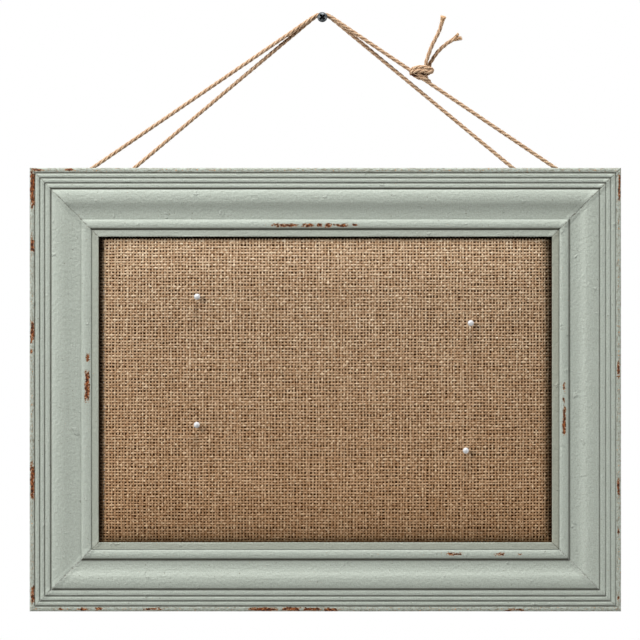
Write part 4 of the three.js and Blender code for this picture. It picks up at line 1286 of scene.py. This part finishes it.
# %% Pins
PIN_PLACES = {
    "upper_left": (-110.0, 79.8),
    "upper_right": (124.7, 57.1),
    "lower_left": (-110.3, -30.2),
    "lower_right": (120.5, -52.2),
}
PIN_RADIUS, PIN_LIFT, PIN_SIDES = 2.6, 1.6, 32
SEAM_RISE, SEAM_WIDTH = 0.025, 2.0


def turned(radii, depths, columns):
    """Rings about the Y axis, one for each radius and depth; more columns vary round the ring."""
    turn = round_angles(columns)
    radii, depths = np.broadcast_arrays(radii, depths)
    return np.stack([radii * np.cos(turn), depths + 0.0 * turn, radii * np.sin(turn)], -1)


def turned_piece(name, rings, finish, body, stands_for, sharp=None):
    """A piece from rings in their place, closed at the first and the last."""
    quads, caps = tube_faces(*rings.shape[:2], flip=True)
    return new_piece(name, rings, quads, finish, body, stands_for, caps, sharp)


glossy = dict(Roughness=0.28, Coat_Weight=0.3, Coat_Roughness=0.15)
pin_white = speckled("pin_white", (174, 176, 178), (194, 195, 196), 0.5, 2.0, **glossy)
polar = np.array([*np.linspace(1.0, 88.0, 16), 90.0, *np.linspace(92.0, 166.0, 14)])[:, None]
seam = SEAM_RISE * np.exp(-(((polar - 90.0) / SEAM_WIDTH) ** 2))
ball_radii = (PIN_RADIUS + seam) * np.sin(np.radians(polar))
ball = turned(ball_radii, -PIN_RADIUS * np.cos(np.radians(polar)), PIN_SIDES)
for name, (x, z) in PIN_PLACES.items():
    rings = ball + on_panel(np.array(x), np.array(z)) - (PIN_LIFT + PIN_RADIUS) * TO_WALL
    turned_piece(f"pin_ball_{name}", rings, pin_white, f"pin_{name}", [f"pin_head_{name}"])
print("pin balls:", len(PIN_PLACES))

# %% [markdown]
# ## Screws
#
# A screw is one turned shape: a domed head, its flat underside, the shank, and a thread that winds down
# to the point. The cross in the wall screw's head and the slot in the small screws are pressed into the
# dome: depth is taken off wherever a point lies inside the recess.

# %% Screws
RECESS_EDGE, RECESS_SLOPE = 0.14, 0.3
DOME_SHARE = 0.98
CORE_SHARE, POINT_SHARE, RIDGE_SHARE = 0.72, 0.25, 0.22


def recess(x, z, width, span, depth, bars, turn):
    """Depth of a slot or cross at a place on a head: deep in the middle, rising to nothing at its ends."""
    total = np.zeros(np.broadcast(x, z).shape)
    for bar in range(bars):
        lengthwise, sideways = turned_about(x, z, turn + bar * np.pi / 2)
        inside = np.clip((width / 2 - np.abs(sideways)) / RECESS_EDGE + 0.5, 0, 1)
        slope = np.clip((span / 2 - np.abs(lengthwise)) / (RECESS_SLOPE * span), 0, 1)
        total = np.maximum(total, depth * inside * slope)
    return total


def screw(head, shank, thread, cut, columns):
    """Rings of a screw along +Y, its head's underside at 0: dome less recess, shank, then a thread's helix.

    head is radius and height, shank radius and length, thread radius, length and pitch."""
    (head_radius, head_height), (shank_radius, shank_length) = head, shank
    thread_radius, thread_length, pitch = thread
    turn = round_angles(columns)
    radius = np.linspace(0.03, 1.0, 40)[:, None] ** 0.8 * head_radius
    dome = head_height * np.sqrt(np.clip(1 - DOME_SHARE * (radius / head_radius) ** 2, 0, 1))
    face = -dome + recess(radius * np.cos(turn), radius * np.sin(turn), **cut)
    under_r = np.array([head_radius * 0.985, shank_radius * 1.15, shank_radius, shank_radius])[:, None]
    under_y = np.array([0.0, 0.0, 0.25, shank_length])[:, None]
    thread_y = np.linspace(shank_length + 0.2, shank_length + thread_length, 90)[:, None]
    share = (thread_y - shank_length) / thread_length
    taper = np.clip((1 - share) / POINT_SHARE, 0.02, 1)
    wave = (thread_y / pitch - turn / (2 * np.pi)) % 1.0
    ridge = np.clip(1 - np.abs(wave - 0.5) / RIDGE_SHARE, 0, 1)
    core = CORE_SHARE * thread_radius
    full = np.ones((1, columns))
    radii = np.concatenate([radius * full, under_r * full, (core + (thread_radius - core) * ridge) * taper])
    depths = np.concatenate([face, under_y * full, thread_y * full])
    return turned(radii, depths, columns)


HEAD_RADIUS, HEAD_HEIGHT = 4.4, 3.0
HEAD_BACK = TWINE_Y - PASS_STEP - TWINE_RADIUS - SEAT_GAP
WALL_THREAD = (2.2, 24.0, 1.9)
SCREW_SHARP, PRESSED_DARK = 40, 0.7
cross = dict(width=1.6, span=6.2, depth=2.3, bars=2, turn=np.radians(42.0))
wall_rings = screw((HEAD_RADIUS, HEAD_HEIGHT), (SHANK_RADIUS, -HEAD_BACK), WALL_THREAD, cross, 96)
wall_place = wall_rings + HEAD_BACK * TO_WALL
wall_screw = turned_piece(
    "wall_screw_turned", wall_place, zinc, "wall_screw", ["wall_screw"], SCREW_SHARP
)
on_head = wall_rings[..., 1] < 0.0
cross_depth = recess(wall_rings[..., 0], wall_rings[..., 2], **cross)
store(wall_screw, "pressed", np.clip(cross_depth / PRESSED_DARK, 0, 1) * on_head)
print("wall screw triangles:", triangles(wall_screw))

# %% [markdown]
# ## Turn buttons
#
# Six small brass plates on the back of the rails hold the panel in its rabbet. A plate's outline is two
# half circles joined by straight sides. Its rings go from the screw hole over the face, round the
# softened edge and back underneath, each a share of the way from the hole to the outline. The screw
# that it turns on has a slotted head.

# %% Turn buttons
BUTTON_LENGTH, BUTTON_RADIUS, BUTTON_THICKNESS, BUTTON_HOLE = 16.0, 4.5, 1.2, 1.8
BUTTON_LINE = MOULDING_WIDTH - RABBET_WIDTH - 6.0
BUTTON_SPREAD = 105.0
BUTTON_SHARP = 50
BUTTON_PLACES = {  # quarter turn of the rail, place along it
    "top_left": (0, -BUTTON_SPREAD),
    "top_right": (0, BUTTON_SPREAD),
    "right": (1, 0.0),
    "bottom_right": (2, -BUTTON_SPREAD),
    "bottom_left": (2, BUTTON_SPREAD),
    "left": (3, 0.0),
}
PLATE_SHARE = np.array([0.0, 0.0, 0.02, 0.1, 0.9, 0.965, 0.992, 1.0, 1.0, 0.985, 0.9, 0.02])
PLATE_HEIGHT = np.array([0.1, 1.05, 1.2, 1.2, 1.2, 1.16, 1.02, 0.8, 0.25, 0.0, 0.0, 0.0])
SMALL_HEAD, SMALL_SHANK, SMALL_THREAD = (3.0, 2.0), (1.5, 4.0), (1.5, 7.0, 1.2)
SMALL_SEAT = 2 * SEAT_GAP + BUTTON_THICKNESS

half_turn = np.linspace(0, np.pi, 20)
heel = -BUTTON_RADIUS * np.stack([np.cos(half_turn), np.sin(half_turn)], -1)
tip = [0.0, BUTTON_LENGTH] - heel
left_side, right_side = line(tip[-1], heel[0], 8)[1:-1], line(heel[-1], tip[0], 8)[1:-1]
outline = np.concatenate([tip, left_side, heel, right_side])
hole_edge = BUTTON_HOLE * unit(outline)
plate = hole_edge + (outline - hole_edge) * PLATE_SHARE[:, None, None]
plate_y = PLATE_HEIGHT[:, None] + SEAT_GAP
plate_quads = grid_faces(len(PLATE_SHARE), len(outline), close_rows=True, close_columns=True)[:, ::-1]
slot_cut = dict(width=0.8, span=7.0, depth=0.9, bars=1, turn=0.0)
small_x, small_y, small_z = np.moveaxis(screw(SMALL_HEAD, SMALL_SHANK, SMALL_THREAD, slot_cut, 64), -1, 0)

for name, (quarter, along) in BUTTON_PLACES.items():
    node = f"turn_button_{name}"
    points = on_rail(plate[..., 0] + along, plate_y, BUTTON_LINE + plate[..., 1], quarter)
    new_piece(f"{node}_plate", points, plate_quads, brass, node, [node], (), BUTTON_SHARP)
    node = f"turn_button_screw_{name}"
    spun_x, spun_z = turned_about(small_x, small_z, 0.4 + 1.9 * quarter + along)
    rings = on_rail(spun_x + along, SMALL_SEAT - small_y, BUTTON_LINE + spun_z, quarter)
    turned_piece(f"{node}_turned", rings, steel, "board", [node], SCREW_SHARP)
print("turn buttons:", len(BUTTON_PLACES))

# %% [markdown]
# ## Screw eyes
#
# A screw eye is one wire: a straight shank in the wood, a bend, and a ring that nearly closes on
# itself. Its section is a circle carried along that path. The ring stands square to the twine that runs
# through it.

# %% Screw eyes
EYE_SHANK = 11.0
WIRE_SIDES = 14
slack = EYE_RING - EYE_WIRE - SEAT_GAP - TWINE_RADIUS
shank = line((0.0, -EYE_RISE - EYE_SHANK), (0.0, -EYE_RING - EYE_WIRE), 14)
wire = np.concatenate([shank, arc((0.0, 0.0), (EYE_RING, EYE_RING), -82.0, 262.0, 56)])
beside_wire = -outward(wire)
wire_turn = round_angles(WIRE_SIDES)
wire_radius = EYE_WIRE * np.concatenate([np.linspace(0.15, 1.0, 4), np.ones(len(wire) - 4)])[:, None]
in_plane = wire[:, None] + (wire_radius * np.cos(wire_turn))[..., None] * beside_wire[:, None]
off_plane = (wire_radius * np.sin(wire_turn))[..., None]
wire_quads, wire_ends = tube_faces(len(wire), WIRE_SIDES)
for name in EYES:
    inward, _ = pull(name)
    flat = unit(inward * [1.0, 0.0, 1.0])
    square = np.cross(TO_WALL, flat)
    points = turns[name] - inward * slack + in_plane[..., :1] * flat + in_plane[..., 1:] * TO_WALL
    points = points + off_plane * square
    node = f"screw_eye_{name}"
    new_piece(f"{node}_wire", points, wire_quads, brass, "board", [node], wire_ends)
print("screw eyes:", len(EYES))
